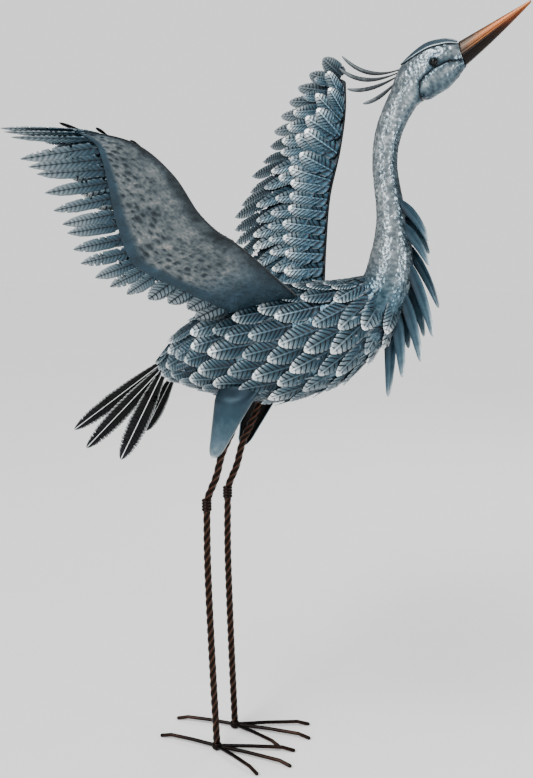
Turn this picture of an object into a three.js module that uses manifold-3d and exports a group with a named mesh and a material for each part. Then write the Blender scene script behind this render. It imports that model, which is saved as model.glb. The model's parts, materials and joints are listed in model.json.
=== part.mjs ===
// A standing garden crane in painted sheet steel: bill lifted, wings raised, on two twisted-bar legs.
// Millimetres, +Z up. The bird faces +X, its left side is +Y, and while it is being built the origin lies
// on the ground midway between its two feet. The last lines move the whole bird so that the origin is at
// the bottom centre of its box.

import * as THREE from 'three';
import { mergeVertices } from 'three/addons/utils/BufferGeometryUtils.js';
import Module from 'manifold-3d';

const wasm = await Module();
wasm.setup();

// Clearance kept where one piece is welded or bedded against another.
const GAP = 0.35;
const CUTTER_GROW = 0.5;
const CUTTER_SHIFT = 1;

// The body, neck and head are one formed shell. Each section is its centre (x, z), its half depth in the
// side view and its half width across, from the tail to the foot of the bill.
const BODY_SECTIONS = [
  { x: -99, z: 620, depth: 19, width: 23 },
  { x: -64, z: 642, depth: 43, width: 43 },
  { x: 4, z: 661, depth: 74, width: 61 },
  { x: 78, z: 671, depth: 87, width: 68 },
  { x: 149, z: 688, depth: 83, width: 66 },
  { x: 216, z: 718, depth: 61, width: 54 },
  { x: 258, z: 760, depth: 39, width: 40 },
  { x: 270, z: 812, depth: 32, width: 31 },
  { x: 268, z: 872, depth: 21.5, width: 22 },
  { x: 257.5, z: 945, depth: 18.5, width: 18.5 },
  { x: 262, z: 990, depth: 19.5, width: 19 },
  { x: 283, z: 1037, depth: 22, width: 21 },
  { x: 301, z: 1060.5, depth: 31.5, width: 24 },
  { x: 327, z: 1079.5, depth: 34, width: 25 },
  { x: 351, z: 1091, depth: 27, width: 20 },
  { x: 366, z: 1096, depth: 17, width: 12 },
];

// Leaf feathers clothe the body in overlapping rows, from the breast back to the tail. Each row stands on
// the one behind it: reach is how far a tip lies behind the notches beside it, and droop how far it sags
// down the body's side, as a share of half a feather's width.
const COAT = {
  rows: 9,
  perRow: 14,
  first: 400,
  last: 30,
  reach: 26,
  droop: 0.6,
  under: -0.5,
  notch: 1.6,
  tip: 5,
  sunkEnd: 3,
};
const NECK_RINGS = 18;

const BILL = {
  tipX: 458, tipZ: 1160.5, tipDepth: 1.6, tipWidth: 1.2,
  split: -0.15, seam: 0.03, belly: 1.8, round: 0.9, rings: 4,
};
const EYE = { x: 331, y: 20.5, z: 1084, radius: 6 };
const CAP = { back: 68, front: 3, spread: 0.84, nape: 0.4, thickness: 1.8, sunk: 1.5 };

// Four plumes sweep back from the nape.
const CREST_PLUMES = [
  { root: [278, 3, 1080], middle: [229, 8, 1078], tip: [187, 12, 1104] },
  { root: [278, -4, 1075], middle: [229, -7, 1066], tip: [189, -10, 1084] },
  { root: [279, 6, 1074], middle: [233, 9, 1056], tip: [195, 13, 1057] },
  { root: [280, -5, 1068], middle: [251, -8, 1042], tip: [226, -12, 1032] },
];
const CREST = { width: 4.8, thickness: 2.6, rings: 7, least: 0.35, start: 0.2 };

// Ten folded plumes hang down the front of the neck: root and tip (x, z).
const BREAST_PLUMES = [
  { rootX: 286, rootZ: 890, tipX: 326, tipZ: 835 },
  { rootX: 286, rootZ: 874, tipX: 325, tipZ: 816 },
  { rootX: 290, rootZ: 858, tipX: 328, tipZ: 800 },
  { rootX: 298, rootZ: 828, tipX: 341, tipZ: 737 },
  { rootX: 304, rootZ: 801, tipX: 336, tipZ: 696 },
  { rootX: 301, rootZ: 776, tipX: 320, tipZ: 694 },
  { rootX: 296, rootZ: 760, tipX: 319, tipZ: 658 },
  { rootX: 290, rootZ: 749, tipX: 297, tipZ: 675 },
  { rootX: 286, rootZ: 739, tipX: 292, tipZ: 633 },
  { rootX: 278, rootZ: 707, tipX: 267, tipZ: 600 },
];
const BREAST = { width: 21, rib: 4, thickness: 1.8, sunk: 10, across: 9, rootAcross: 7 };

const TAIL_FEATHERS = [
  { root: [-80, 7, 657], tip: [-286, 16, 509], width: 28 },
  { root: [-83, -2, 651], tip: [-247, -10, 486], width: 29 },
  { root: [-92, -10, 642], tip: [-172, -30, 476], width: 31 },
  { root: [-88, 12, 625], tip: [-158, 34, 513], width: 25 },
];
const TAIL = { rib: 1.6, thickness: 1.8 };

// A wing is a curved sheet between its leading edge and the line of its feather tips. Both lines are given
// by matching stations from the shoulder to the wing tip. Each long blade has its root's place along the
// wing, its tip's place along the wing, and how far back across the wing the tip reaches.
const RIGHT_WING = {
  name: 'right',
  dorsal: -1,
  lead: [
    [139, -48, 753], [73, -127, 832], [56, -150, 847], [41, -180, 871.5],
    [24, -232, 925], [-7, -282, 963], [-76, -345, 980],
  ],
  tips: [
    [-7, -58, 711], [-86, -160, 754], [-116, -205, 779], [-124, -262, 840],
    [-121, -322, 895], [-121, -375, 936], [-115, -420, 974],
  ],
  blades: [
    [0.026, 0.016, 1.02], [0.063, 0.052, 0.92], [0.105, 0.089, 0.93], [0.142, 0.125, 0.96], [0.19, 0.172, 0.99],
    [0.254, 0.254, 0.98], [0.32, 0.336, 0.98], [0.38, 0.403, 1], [0.44, 0.453, 1], [0.5, 0.511, 0.98],
    [0.546, 0.546, 0.98], [0.603, 0.601, 0.99], [0.66, 0.672, 0.98], [0.715, 0.758, 0.94], [0.763, 0.797, 0.96],
    [0.825, 0.839, 0.98], [0.868, 0.95, 0.93], [0.912, 0.981, 0.97], [0.955, 1, 0.99],
  ],
  bladeWidths: [27, 18],
  tipTwist: 1.3,
};
const LEFT_WING = {
  name: 'left',
  dorsal: 1,
  lead: [[152, 46, 762], [141, 92, 834], [133, 138, 906], [136, 183, 981], [134, 220, 1050], [121, 262, 1118]],
  tips: [[8, 60, 714], [-43, 160, 836], [-39, 203, 906], [-20, 252, 989], [0, 288, 1062], [60, 340, 1159]],
  blades: [
    [0.03, 0.02, 0.97], [0.085, 0.075, 0.97], [0.135, 0.13, 0.97], [0.184, 0.18, 0.97], [0.238, 0.23, 1],
    [0.296, 0.293, 1.04], [0.356, 0.353, 1], [0.416, 0.412, 0.94], [0.48, 0.483, 1.01], [0.542, 0.543, 0.94],
    [0.608, 0.61, 0.93], [0.68, 0.685, 0.945], [0.75, 0.76, 0.93], [0.812, 0.823, 0.92], [0.866, 0.879, 0.95],
    [0.916, 0.93, 0.92], [0.965, 0.99, 0.84],
  ],
  bladeWidths: [22, 27],
  tipTwist: 0,
};
const WING = { camber: 5, panelShare: 0.66, tipShare: 0.04 };
const PANEL = { low: -1.6, high: 0.7, columns: 14, rows: 3, end: 0.945 };
const PRIMARIES = {
  low: 3.1, thickness: 1.6, rib: 1.2, ribUnder: 0.4, lap: 0.02, bandAtRoot: 0.1, bandAtTip: 0.03,
  outline: [[0.3, 0.92], [0.86, 0.88]], room: 0.47, twistFrom: 0.84,
};
const COVERTS = {
  start: 1.5, low: 6.4, thickness: 1.3, end: 0.94, rows: 4, perRow: 14, reach: 0.55, notch: 0.8, tip: 2.6,
  share: 0.92, setBack: 0.02, levelled: 0.85, belly: 0.6,
};

// Each thigh is a half-cone sheet, open toward the middle, with the leg bar inside it.
const THIGH = {
  top: 618, bottom: 497, backTop: 15, backBottom: 0, frontTop: 86, frontBottom: 13,
  edgeY: 51, bulge: 0.5, thickness: 2.4, forward: { left: 6, right: -3 },
};

const LEG_Y = 44;
const FOOT_Y = 40;
const BAR = { half: 4.7, turn: 62, stepsPerTurn: 7 };
const UPPER_LEG = [[60, 612], [33, 543], [15, 504], [4, 464], [-8, 438], [-12.5, 429.8]];
const LOWER_LEG = [[-12.5, 406.9], [-12.5, 325], [-8, 191], [0, 12.4]];
const KNEE = { x: -12.5, low: 407.4, high: 426.8, radius: 8, neck: 6.2, ribs: 3, ribHalf: 1.5, groove: 0.8 };
const WELD = { low: 1, high: 12, radius: 8, chamfer: 3, foot: 0.6, crown: 0.75 };

const ROUND_SIDES = 8;

// A toe's bends are given as distance past its length, height above the ground and lean.
const TOE = {
  radius: 3, sides: 6, height: 6.8, arch: 7.4, drop: 17, padStretch: 1.3, start: 8.6, sideStart: 14,
  bends: [[-4, 6.4, 0.1], [3, 4.3, 0.45]],
};
const TOES = [
  { name: 'middle_toe', angle: 0, length: 119 },
  { name: 'left_toe', angle: 22, length: 113 },
  { name: 'right_toe', angle: -25, length: 92 },
  { name: 'back_toe', angle: 182, length: 90 },
];
const FOOT_TURN = { right: -6, left: 1.5 };

const vec = (x, y, z) => new THREE.Vector3(x, y, z);
const lerp = THREE.MathUtils.lerp;

// A closed solid from points and triangles, turned right side out.
function solid(points, faces) {
  let volume = 0;
  for (const [a, b, c] of faces) {
    volume += points[a].dot(points[b].clone().cross(points[c]));
  }
  const outward = volume < 0 ? faces.map(([a, b, c]) => [a, c, b]) : faces;
  const geometry = new THREE.BufferGeometry();
  geometry.setFromPoints(points);
  geometry.setIndex(outward.flat());
  return geometry;
}

const quad = (a, b, c, d) => [[a, b, c], [a, c, d]];

// Skins a row of rings, each with the same number of points, and closes both ends flat. An end that is
// hollow in outline gives its own triangles.
function loft(rings, endFaces = null) {
  const sides = rings[0].length;
  const faces = [];
  for (let ring = 0; ring + 1 < rings.length; ring += 1) {
    for (let side = 0; side < sides; side += 1) {
      const next = (side + 1) % sides;
      const here = ring * sides;
      const ahead = here + sides;
      faces.push(...quad(here + side, here + next, ahead + next, ahead + side));
    }
  }
  const last = (rings.length - 1) * sides;
  const ends = endFaces ?? Array.from({ length: sides - 2 }, (_, side) => [0, side + 1, side + 2]);
  for (const [a, b, c] of ends) faces.push([a, c, b], [last + a, last + b, last + c]);
  return solid(rings.flat(), faces);
}

// Triangles that fill a flat outline, all wound the way the outline is.
function flatEnd(outline) {
  const wound = Math.sign(THREE.ShapeUtils.area(outline));
  return THREE.ShapeUtils.triangulateShape(outline, []).map(([a, b, c]) => (
    Math.sign(THREE.ShapeUtils.area([outline[a], outline[b], outline[c]])) === wound ? [a, b, c] : [a, c, b]
  ));
}

// A curved sheet: place(i, j, height) gives its points, with i and j running from 0 to 1.
function sheet(place, columns, rows, low, high) {
  const points = [];
  for (const height of [low, high]) {
    for (let i = 0; i <= columns; i += 1) {
      for (let j = 0; j <= rows; j += 1) points.push(place(i / columns, j / rows, height));
    }
  }
  const at = (layer, i, j) => (layer * (columns + 1) + i) * (rows + 1) + j;
  const faces = [];
  for (let i = 0; i < columns; i += 1) {
    for (let j = 0; j < rows; j += 1) {
      faces.push(...quad(at(1, i, j), at(1, i + 1, j), at(1, i + 1, j + 1), at(1, i, j + 1)));
      faces.push(...quad(at(0, i, j), at(0, i, j + 1), at(0, i + 1, j + 1), at(0, i + 1, j)));
    }
  }
  for (let i = 0; i < columns; i += 1) {
    faces.push(...quad(at(0, i, 0), at(0, i + 1, 0), at(1, i + 1, 0), at(1, i, 0)));
    faces.push(...quad(at(1, i, rows), at(1, i + 1, rows), at(0, i + 1, rows), at(0, i, rows)));
  }
  for (let j = 0; j < rows; j += 1) {
    faces.push(...quad(at(1, 0, j), at(1, 0, j + 1), at(0, 0, j + 1), at(0, 0, j)));
    faces.push(...quad(at(0, columns, j), at(0, columns, j + 1), at(1, columns, j + 1), at(1, columns, j)));
  }
  return solid(points, faces);
}

// Half width of a feather along its length, as shares of its full half width.
const PLUME_OUTLINE = [[0, 0.4], [0.4, 1], [0.8, 0.62]];
const QUILL_OUTLINE = [[0, 0.3], [0.2, 0.7], [0.5, 1], [0.8, 0.95], [0.93, 0.6]];

// A feather from root to tip with a raised midrib. Its underside lies one thickness below; hollow lifts
// the middle of the underside too, so that the blade is a folded sheet.
function feather({ root, tip, normal, halfWidth, rib, thickness, outline, hollow = 0 }) {
  const run = tip.clone().sub(root);
  const up = normal.clone().addScaledVector(run, -normal.dot(run) / run.lengthSq()).normalize();
  const across = up.clone().cross(run).normalize();
  const place = (along, side, height) => root.clone()
    .addScaledVector(run, along)
    .addScaledVector(across, side * halfWidth)
    .addScaledVector(up, height);
  const points = [];
  for (const [along, share] of outline) {
    points.push(place(along, share, 0), place(along, 0, rib), place(along, -share, 0));
    points.push(place(along, -share, -thickness), place(along, 0, hollow - thickness));
    points.push(place(along, share, -thickness));
  }
  const sides = 6;
  const tipTop = points.push(place(1, 0, 0)) - 1;
  const tipUnder = points.push(place(1, 0, -thickness)) - 1;
  const faces = [];
  for (let ring = 0; ring + 1 < outline.length; ring += 1) {
    for (let side = 0; side < sides; side += 1) {
      const next = (side + 1) % sides;
      const here = ring * sides;
      faces.push(...quad(here + side, here + next, here + sides + next, here + sides + side));
    }
  }
  const end = (outline.length - 1) * sides;
  faces.push([end, end + 1, tipTop], [end + 1, end + 2, tipTop]);
  faces.push(...quad(end + 2, end + 3, tipUnder, tipTop));
  faces.push([end + 3, end + 4, tipUnder], [end + 4, end + 5, tipUnder]);
  faces.push(...quad(end + 5, end, tipTop, tipUnder));
  faces.push([0, 5, 1], [5, 4, 1], [4, 3, 1], [3, 2, 1]);
  return solid(points, faces);
}

function toManifold(geometry) {
  const bare = geometry.clone();
  bare.deleteAttribute('normal');
  bare.deleteAttribute('uv');
  const merged = mergeVertices(bare, 1e-4);
  return new wasm.Manifold(new wasm.Mesh({
    numProp: 3,
    vertProperties: Float32Array.from(merged.attributes.position.array),
    triVerts: Uint32Array.from(merged.index.array),
  }));
}

// The largest connected piece of a cut solid, as a geometry.
function fromManifold(shape) {
  const pieces = shape.decompose().sort((a, b) => b.volume() - a.volume());
  const mesh = pieces[0].getMesh();
  const geometry = new THREE.BufferGeometry();
  geometry.setAttribute('position', new THREE.BufferAttribute(Float32Array.from(mesh.vertProperties), 3));
  geometry.setIndex(new THREE.BufferAttribute(Uint32Array.from(mesh.triVerts), 1));
  return geometry;
}

const cutBy = (geometry, ...cutters) => fromManifold(
  cutters.reduce((rest, cutter) => rest.subtract(cutter), toManifold(geometry)),
);

// The spine runs through the section centres; a second curve carries their half depths and half widths.
const SPINE = new THREE.CatmullRomCurve3(BODY_SECTIONS.map(({ x, z }) => vec(x, 0, z)));
const GIRTH = new THREE.CatmullRomCurve3(BODY_SECTIONS.map(({ depth, width }) => vec(depth, width, 0)));
const SPINE_LENGTH = SPINE.getLength();

function sectionAt(t) {
  const centre = SPINE.getPoint(t);
  const forward = SPINE.getTangent(t);
  const girth = GIRTH.getPoint(t);
  return { centre, forward, up: vec(-forward.z, 0, forward.x), depth: girth.x, width: girth.y };
}

// A point on the body: angle 0 is along the back, a quarter turn is the left side.
function bodyPoint(distance, angle, height) {
  const inside = THREE.MathUtils.clamp(distance, 0, SPINE_LENGTH);
  const { centre, forward, up, depth, width } = sectionAt(SPINE.getUtoTmapping(0, inside));
  return centre
    .addScaledVector(forward, distance - inside)
    .addScaledVector(up, (depth + height) * Math.cos(angle))
    .addScaledVector(vec(0, 1, 0), (width + height) * Math.sin(angle));
}

// One ring round the body. Tip places lie back along the body, lower on its sides, and stand higher.
function coatRing(row, grow, shift, under) {
  const notchLine = lerp(COAT.first, COAT.last, row / (COAT.rows - 1));
  const places = COAT.perRow * 2;
  const ring = [];
  for (let place = 0; place < places; place += 1) {
    const angle = (place / places) * 2 * Math.PI;
    const isTip = (place + row) % 2 === 0;
    const sag = isTip ? COAT.droop * ((2 * Math.PI) / places) * Math.sin(angle) : 0;
    const distance = notchLine - shift - (isTip ? COAT.reach : 0);
    const height = isTip ? COAT.tip : COAT.notch;
    ring.push(bodyPoint(distance, angle + sag, (under ? COAT.under : height) + grow));
  }
  return ring;
}

function plainRing(distance, grow) {
  const places = COAT.perRow * 2;
  return Array.from({ length: places }, (_, place) => (
    bodyPoint(distance, (place / places) * 2 * Math.PI, grow)
  ));
}

// The whole shell, made larger all round by grow and with its feather edges shifted back.
function bodyShell(grow = 0, shift = 0) {
  const rings = [];
  for (let step = 0; step < NECK_RINGS; step += 1) {
    const distance = lerp(SPINE_LENGTH, COAT.first + COAT.reach, step / NECK_RINGS);
    rings.push(plainRing(distance + (step === 0 ? grow : 0), grow));
  }
  for (let row = 0; row < COAT.rows; row += 1) {
    rings.push(coatRing(row, grow, shift, false), coatRing(row, grow, shift, true));
  }
  rings.push(plainRing(-grow, grow - COAT.sunkEnd));
  return loft(rings);
}

// The bill carries on from the front of the head; low and high bound it in shares of its half depth.
function billHalf(low, high) {
  const { centre, forward, up, depth, width } = sectionAt(1);
  const start = centre.addScaledVector(forward, GAP);
  const tip = vec(BILL.tipX, 0, BILL.tipZ);
  const rings = [];
  for (let step = 0; step <= BILL.rings; step += 1) {
    const along = step / BILL.rings;
    const middle = start.clone().lerp(tip, along);
    const halfDepth = lerp(depth, BILL.tipDepth, along);
    const halfWidth = lerp(width, BILL.tipWidth, along);
    const belly = BILL.belly * 4 * along * (1 - along);
    const corner = (side, share) => middle.clone()
      .addScaledVector(up, share * halfDepth + Math.min(0, share) * belly)
      .addScaledVector(vec(0, 1, 0), side * halfWidth * Math.sqrt(1 - share * share * BILL.round));
    const shoulder = lerp(low, high, 0.5);
    rings.push([
      corner(1, low), corner(1, shoulder), corner(1, high),
      corner(-1, high), corner(-1, shoulder), corner(-1, low),
    ]);
  }
  return loft(rings);
}

// The cap narrows toward the nape.
function crestCap(cutter) {
  const place = (i, j, height) => {
    const spread = lerp(CAP.nape, CAP.spread, Math.min(1, 2 * i));
    return bodyPoint(SPINE_LENGTH - lerp(CAP.back, CAP.front, i), lerp(-spread, spread, j), height);
  };
  return cutBy(sheet(place, 5, 4, -CAP.sunk, CAP.thickness), cutter);
}

// A slender plume: a diamond section that swells and tapers along a bowed line through its middle point.
function crestPlume({ root, middle, tip }, ...cutters) {
  const ends = vec(...root).add(vec(...tip)).multiplyScalar(0.5);
  const pull = vec(...middle).multiplyScalar(2).sub(ends);
  const line = new THREE.QuadraticBezierCurve3(vec(...root), pull, vec(...tip));
  const rings = [];
  for (let step = 0; step <= CREST.rings; step += 1) {
    const along = step / CREST.rings;
    const centre = line.getPoint(along);
    const tangent = line.getTangent(along);
    const rise = vec(-tangent.z, 0, tangent.x).normalize();
    const swell = lerp(CREST.least, 1, Math.sin(Math.PI * lerp(CREST.start, 1, along)));
    const high = (CREST.width / 2) * swell;
    const wide = (CREST.thickness / 2) * swell;
    rings.push([
      centre.clone().addScaledVector(rise, high),
      centre.clone().add(vec(0, wide, 0)),
      centre.clone().addScaledVector(rise, -high),
      centre.clone().add(vec(0, -wide, 0)),
    ]);
  }
  return cutBy(loft(rings), ...cutters);
}

function breastPlume({ rootX, rootZ, tipX, tipZ }, index, ...cutters) {
  const side = index % 2 === 0 ? -1 : 1;
  const root = vec(rootX - BREAST.sunk, side * BREAST.rootAcross, rootZ + BREAST.sunk / 2);
  const tip = vec(tipX, side * BREAST.across, tipZ);
  return cutBy(feather({
    root,
    tip,
    normal: vec(0.25, side, 0.1),
    halfWidth: BREAST.width / 2,
    rib: BREAST.rib,
    hollow: BREAST.rib,
    thickness: BREAST.thickness,
    outline: PLUME_OUTLINE,
  }), ...cutters);
}

function tailFeather({ root, tip, width }, cutter) {
  return cutBy(feather({
    root: vec(...root),
    tip: vec(...tip),
    normal: vec(0.15, -1, 0.25),
    halfWidth: width / 2,
    rib: TAIL.rib,
    hollow: TAIL.rib,
    thickness: TAIL.thickness,
    outline: QUILL_OUTLINE,
  }), cutter);
}

// The wing's surface: along runs from shoulder to tip, back from the leading edge to the feather tips, and
// height stands off on the upper side of the wing.
function wingSurface({ lead, tips, dorsal }) {
  const leadLine = new THREE.CatmullRomCurve3(lead.map(([x, y, z]) => vec(x, y, z)));
  const tipLine = new THREE.CatmullRomCurve3(tips.map(([x, y, z]) => vec(x, y, z)));
  const normalAt = (along) => {
    const chord = tipLine.getPoint(along).sub(leadLine.getPoint(along));
    const span = leadLine.getTangent(along).add(tipLine.getTangent(along));
    return span.cross(chord).normalize().multiplyScalar(dorsal);
  };
  const place = (along, back, height) => leadLine.getPoint(along)
    .lerp(tipLine.getPoint(along), back)
    .addScaledVector(normalAt(along), height + WING.camber * 4 * back * (1 - back));
  return { place, normalAt };
}

// How far back the hammered panel reaches: most of the chord at the shoulder, almost nothing at the tip.
const panelReach = (along) => WING.tipShare + WING.panelShare * (1 - along ** 3);

function wingPanel({ place }) {
  const spread = (i, j, height) => place(i * PANEL.end, j * panelReach(i * PANEL.end), height);
  return sheet(spread, PANEL.columns, PANEL.rows, PANEL.low, PANEL.high);
}

// The primaries are one comb: a band under the panel's edge that runs out into separate ribbed blades.
function wingPrimaries({ place, normalAt }, { blades, bladeWidths, tipTwist }) {
  const { low, thickness, rib, ribUnder, lap, bandAtRoot, bandAtTip, outline, room, twistFrom } = PRIMARIES;
  const points = [];
  const faces = [];
  const bandEdge = (along) => panelReach(along) - lap;
  const columns = 2 * blades.length;
  const edges = [0, ...blades.slice(1).map(([root], blade) => (root + blades[blade][0]) / 2), 1];
  for (const isRear of [false, true]) {
    for (let column = 0; column <= columns; column += 1) {
      const isRib = column % 2 === 1;
      const along = isRib ? blades[(column - 1) / 2][0] : edges[column / 2];
      const back = bandEdge(along) - (isRear ? 0 : lerp(bandAtRoot, bandAtTip, along));
      points.push(place(along, back, low + thickness + (isRear && isRib ? rib : 0)));
      points.push(place(along, back, low));
    }
  }
  const front = (column, under) => 2 * column + under;
  const rear = (column, under) => 2 * (columns + 1) + 2 * column + under;
  for (let column = 0; column < columns; column += 1) {
    faces.push(...quad(front(column, 0), rear(column, 0), rear(column + 1, 0), front(column + 1, 0)));
    faces.push(...quad(front(column, 1), front(column + 1, 1), rear(column + 1, 1), rear(column, 1)));
    faces.push(...quad(front(column, 0), front(column + 1, 0), front(column + 1, 1), front(column, 1)));
  }
  faces.push(...quad(front(0, 0), front(0, 1), rear(0, 1), rear(0, 0)));
  faces.push(...quad(front(columns, 0), rear(columns, 0), rear(columns, 1), front(columns, 1)));
  const runs = blades.map(([rootAlong, tipAlong, tipBack]) => {
    const root = place(rootAlong, bandEdge(rootAlong), low);
    return { root, run: place(tipAlong, tipBack, low).sub(root) };
  });
  const middleAt = (blade, reach) => runs[blade].root.clone().addScaledVector(runs[blade].run, reach);
  blades.forEach(([rootAlong], blade) => {
    const { root, run } = runs[blade];
    const left = 2 * blade;
    const axis = run.clone().normalize();
    const flatUp = normalAt(rootAlong);
    const flatAcross = run.clone().cross(flatUp).normalize();
    if (flatAcross.dot(place(edges[blade + 1], bandEdge(rootAlong), low).sub(root)) < 0) flatAcross.negate();
    const beside = [blade - 1, blade + 1].filter((other) => other in runs);
    let ring = [
      rear(left, 0), rear(left + 1, 0), rear(left + 2, 0), rear(left + 2, 1), rear(left + 1, 1), rear(left, 1),
    ];
    let up = flatUp;
    for (const [reach, share] of outline) {
      const onset = THREE.MathUtils.smoothstep(reach, outline[0][0], 1);
      const twist = tipTwist * onset * THREE.MathUtils.smoothstep(rootAlong, twistFrom, 1);
      const across = flatAcross.clone().applyAxisAngle(axis, twist);
      up = flatUp.clone().applyAxisAngle(axis, twist);
      const middle = middleAt(blade, reach);
      const free = Math.min(...beside.map((other) => middleAt(other, reach).distanceTo(middle)));
      const half = Math.min(share * lerp(...bladeWidths, rootAlong) / 2, free * room);
      const section = [
        [-1, thickness], [0, thickness + rib], [1, thickness], [1, 0], [0, ribUnder * rib], [-1, 0],
      ];
      const next = section.map(([side, height]) => points.push(middle.clone()
        .addScaledVector(across, side * half)
        .addScaledVector(up, height)) - 1);
      for (let side = 0; side < section.length; side += 1) {
        const after = (side + 1) % section.length;
        faces.push(...quad(ring[side], next[side], next[after], ring[after]));
      }
      ring = next;
    }
    const tipTop = points.push(root.clone().add(run).addScaledVector(up, thickness)) - 1;
    const tipUnder = points.push(root.clone().add(run)) - 1;
    faces.push([ring[0], tipTop, ring[1]], [ring[1], tipTop, ring[2]]);
    faces.push(...quad(ring[2], tipTop, tipUnder, ring[3]));
    faces.push([ring[3], tipUnder, ring[4]], [ring[4], tipUnder, ring[5]]);
    faces.push(...quad(ring[5], tipUnder, tipTop, ring[0]));
  });
  return solid(points, faces);
}

// The coverts are one sheet whose upper side steps down in rows of leaf feathers toward the primaries.
function wingCoverts({ place }) {
  const { start, low, thickness, end, rows, perRow, reach, notch, tip } = COVERTS;
  const { share, setBack, levelled, belly } = COVERTS;
  const columns = 2 * perRow;
  const rings = [];
  let outline = [];
  for (let column = 0; column <= columns; column += 1) {
    const along = (end * column) / columns;
    const full = share * panelReach(along);
    const under = (back) => lerp(start, low, Math.sin((Math.PI / 2) * Math.min(1, back / (levelled * full))));
    const front = setBack * (1 - column / columns);
    const loop = [[front, start], [front, start + thickness]];
    for (let row = 1; row <= rows; row += 1) {
      const isTip = (column + row) % 2 === 0;
      const back = ((row + (isTip ? reach : 0)) / rows) * full;
      const top = under(back) + thickness;
      loop.push([back, top + (isTip ? tip : notch)], [back, row === rows ? under(back) : top]);
    }
    loop.push([full * belly, under(full * belly)]);
    outline = loop;
    rings.push(loop.map(([back, height]) => place(along, back, height)));
  }
  return loft(rings, flatEnd(outline.map(([back, height]) => new THREE.Vector2(back * 100, height))));
}

function thigh(name, side, cutter) {
  const place = (down, around, height) => {
    const back = lerp(THIGH.backTop, THIGH.backBottom, down);
    const front = lerp(THIGH.frontTop, THIGH.frontBottom, down);
    const half = (front - back) / 2;
    const turn = Math.PI * (1 - around);
    const x = THIGH.forward[name] + (front + back) / 2 + (half + height) * Math.cos(turn);
    const y = THIGH.edgeY + (half * THIGH.bulge + height) * Math.sin(turn);
    return vec(x, side * y, lerp(THIGH.top, THIGH.bottom, down));
  };
  return cutBy(sheet(place, 4, 6, 0, THIGH.thickness), cutter);
}

// A square bar twisted along a line of stations.
function twistedBar(stations) {
  const line = new THREE.CatmullRomCurve3(stations);
  const length = line.getLength();
  const steps = Math.ceil((length / BAR.turn) * BAR.stepsPerTurn);
  const rings = [];
  for (let step = 0; step <= steps; step += 1) {
    const along = step / steps;
    const centre = line.getPointAt(along);
    const tangent = line.getTangentAt(along);
    const front = tangent.clone().cross(vec(0, 1, 0)).normalize();
    const left = front.clone().cross(tangent).normalize();
    const twist = -(along * length / BAR.turn) * 2 * Math.PI;
    const ring = [];
    for (let corner = 0; corner < 4; corner += 1) {
      const angle = twist + (corner + 0.5) * (Math.PI / 2);
      ring.push(centre.clone()
        .addScaledVector(front, BAR.half * Math.SQRT2 * Math.cos(angle))
        .addScaledVector(left, BAR.half * Math.SQRT2 * Math.sin(angle)));
    }
    rings.push(ring);
  }
  return loft(rings);
}

function kneeCollar() {
  const { low, high, radius, neck, ribs, ribHalf, groove } = KNEE;
  const profile = [new THREE.Vector2(0, low), new THREE.Vector2(neck, low)];
  for (let rib = 0; rib < ribs; rib += 1) {
    const z = lerp(low, high, (rib + 0.5) / ribs);
    profile.push(new THREE.Vector2(radius, z - ribHalf), new THREE.Vector2(radius, z + ribHalf));
    if (rib + 1 < ribs) profile.push(new THREE.Vector2(radius - groove, lerp(low, high, (rib + 1) / ribs)));
  }
  profile.push(new THREE.Vector2(neck, high), new THREE.Vector2(0, high));
  return new THREE.LatheGeometry(profile, ROUND_SIDES).rotateX(Math.PI / 2);
}

function footWeld() {
  const { low, high, radius, chamfer, foot, crown } = WELD;
  const profile = [
    [0, low], [radius * foot, low], [radius, low + chamfer],
    [radius, high - chamfer], [radius * crown, high], [0, high],
  ];
  const outline = profile.map(([r, z]) => new THREE.Vector2(r, z));
  return new THREE.LatheGeometry(outline, ROUND_SIDES).rotateX(Math.PI / 2);
}

// A toe is a round bar that runs out level, then bends down and ends in a flat on the ground.
function toe({ angle, length }, turn) {
  const heading = THREE.MathUtils.degToRad(angle + turn);
  const out = vec(Math.cos(heading), Math.sin(heading), 0);
  const aside = vec(-out.y, out.x, 0);
  const ring = (distance, height, lean, stretch) => {
    const points = [];
    for (let side = 0; side < TOE.sides; side += 1) {
      const corner = (side / TOE.sides) * 2 * Math.PI;
      const rise = TOE.radius * stretch * Math.cos(corner);
      points.push(out.clone().multiplyScalar(distance + rise * Math.sin(lean))
        .addScaledVector(aside, TOE.radius * Math.sin(corner))
        .add(vec(0, 0, height + rise * Math.cos(lean))));
    }
    return points;
  };
  const start = Math.abs(angle) > 0 && Math.abs(angle) < 90 ? TOE.sideStart : TOE.start;
  return loft([
    ring(start, TOE.height, 0, 1),
    ring(length / 2, TOE.arch, 0, 1),
    ...TOE.bends.map(([past, height, lean]) => ring(length + past, height, lean, 1)),
    ring(length + TOE.drop, 0, Math.PI / 2, TOE.padStretch),
  ]);
}

const FINISHES = {
  feather_steel: { color: 0x5f7f92, roughness: 0.45, metalness: 0.7 },
  hammered_steel: { color: 0x55626e, roughness: 0.4, metalness: 0.75 },
  dark_steel: { color: 0x1f2a38, roughness: 0.5, metalness: 0.6 },
  bronzed_bar: { color: 0x3a2822, roughness: 0.4, metalness: 0.8 },
  copper: { color: 0xb8734a, roughness: 0.35, metalness: 0.85 },
  eye_enamel: { color: 0x0b0b0d, roughness: 0.08, metalness: 0 },
};

const bird = new THREE.Group();

function add(name, geometry, finish, parent = bird) {
  const mesh = new THREE.Mesh(geometry, new THREE.MeshStandardMaterial(FINISHES[finish]));
  mesh.name = name;
  parent.add(mesh);
  return mesh;
}

// What meets the body is cut by a slightly larger copy of it, so that the gap stays all round.
const bodyCutter = toManifold(bodyShell(CUTTER_GROW)).add(toManifold(bodyShell(CUTTER_GROW, CUTTER_SHIFT)));
add('body', bodyShell(), 'feather_steel');

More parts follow.
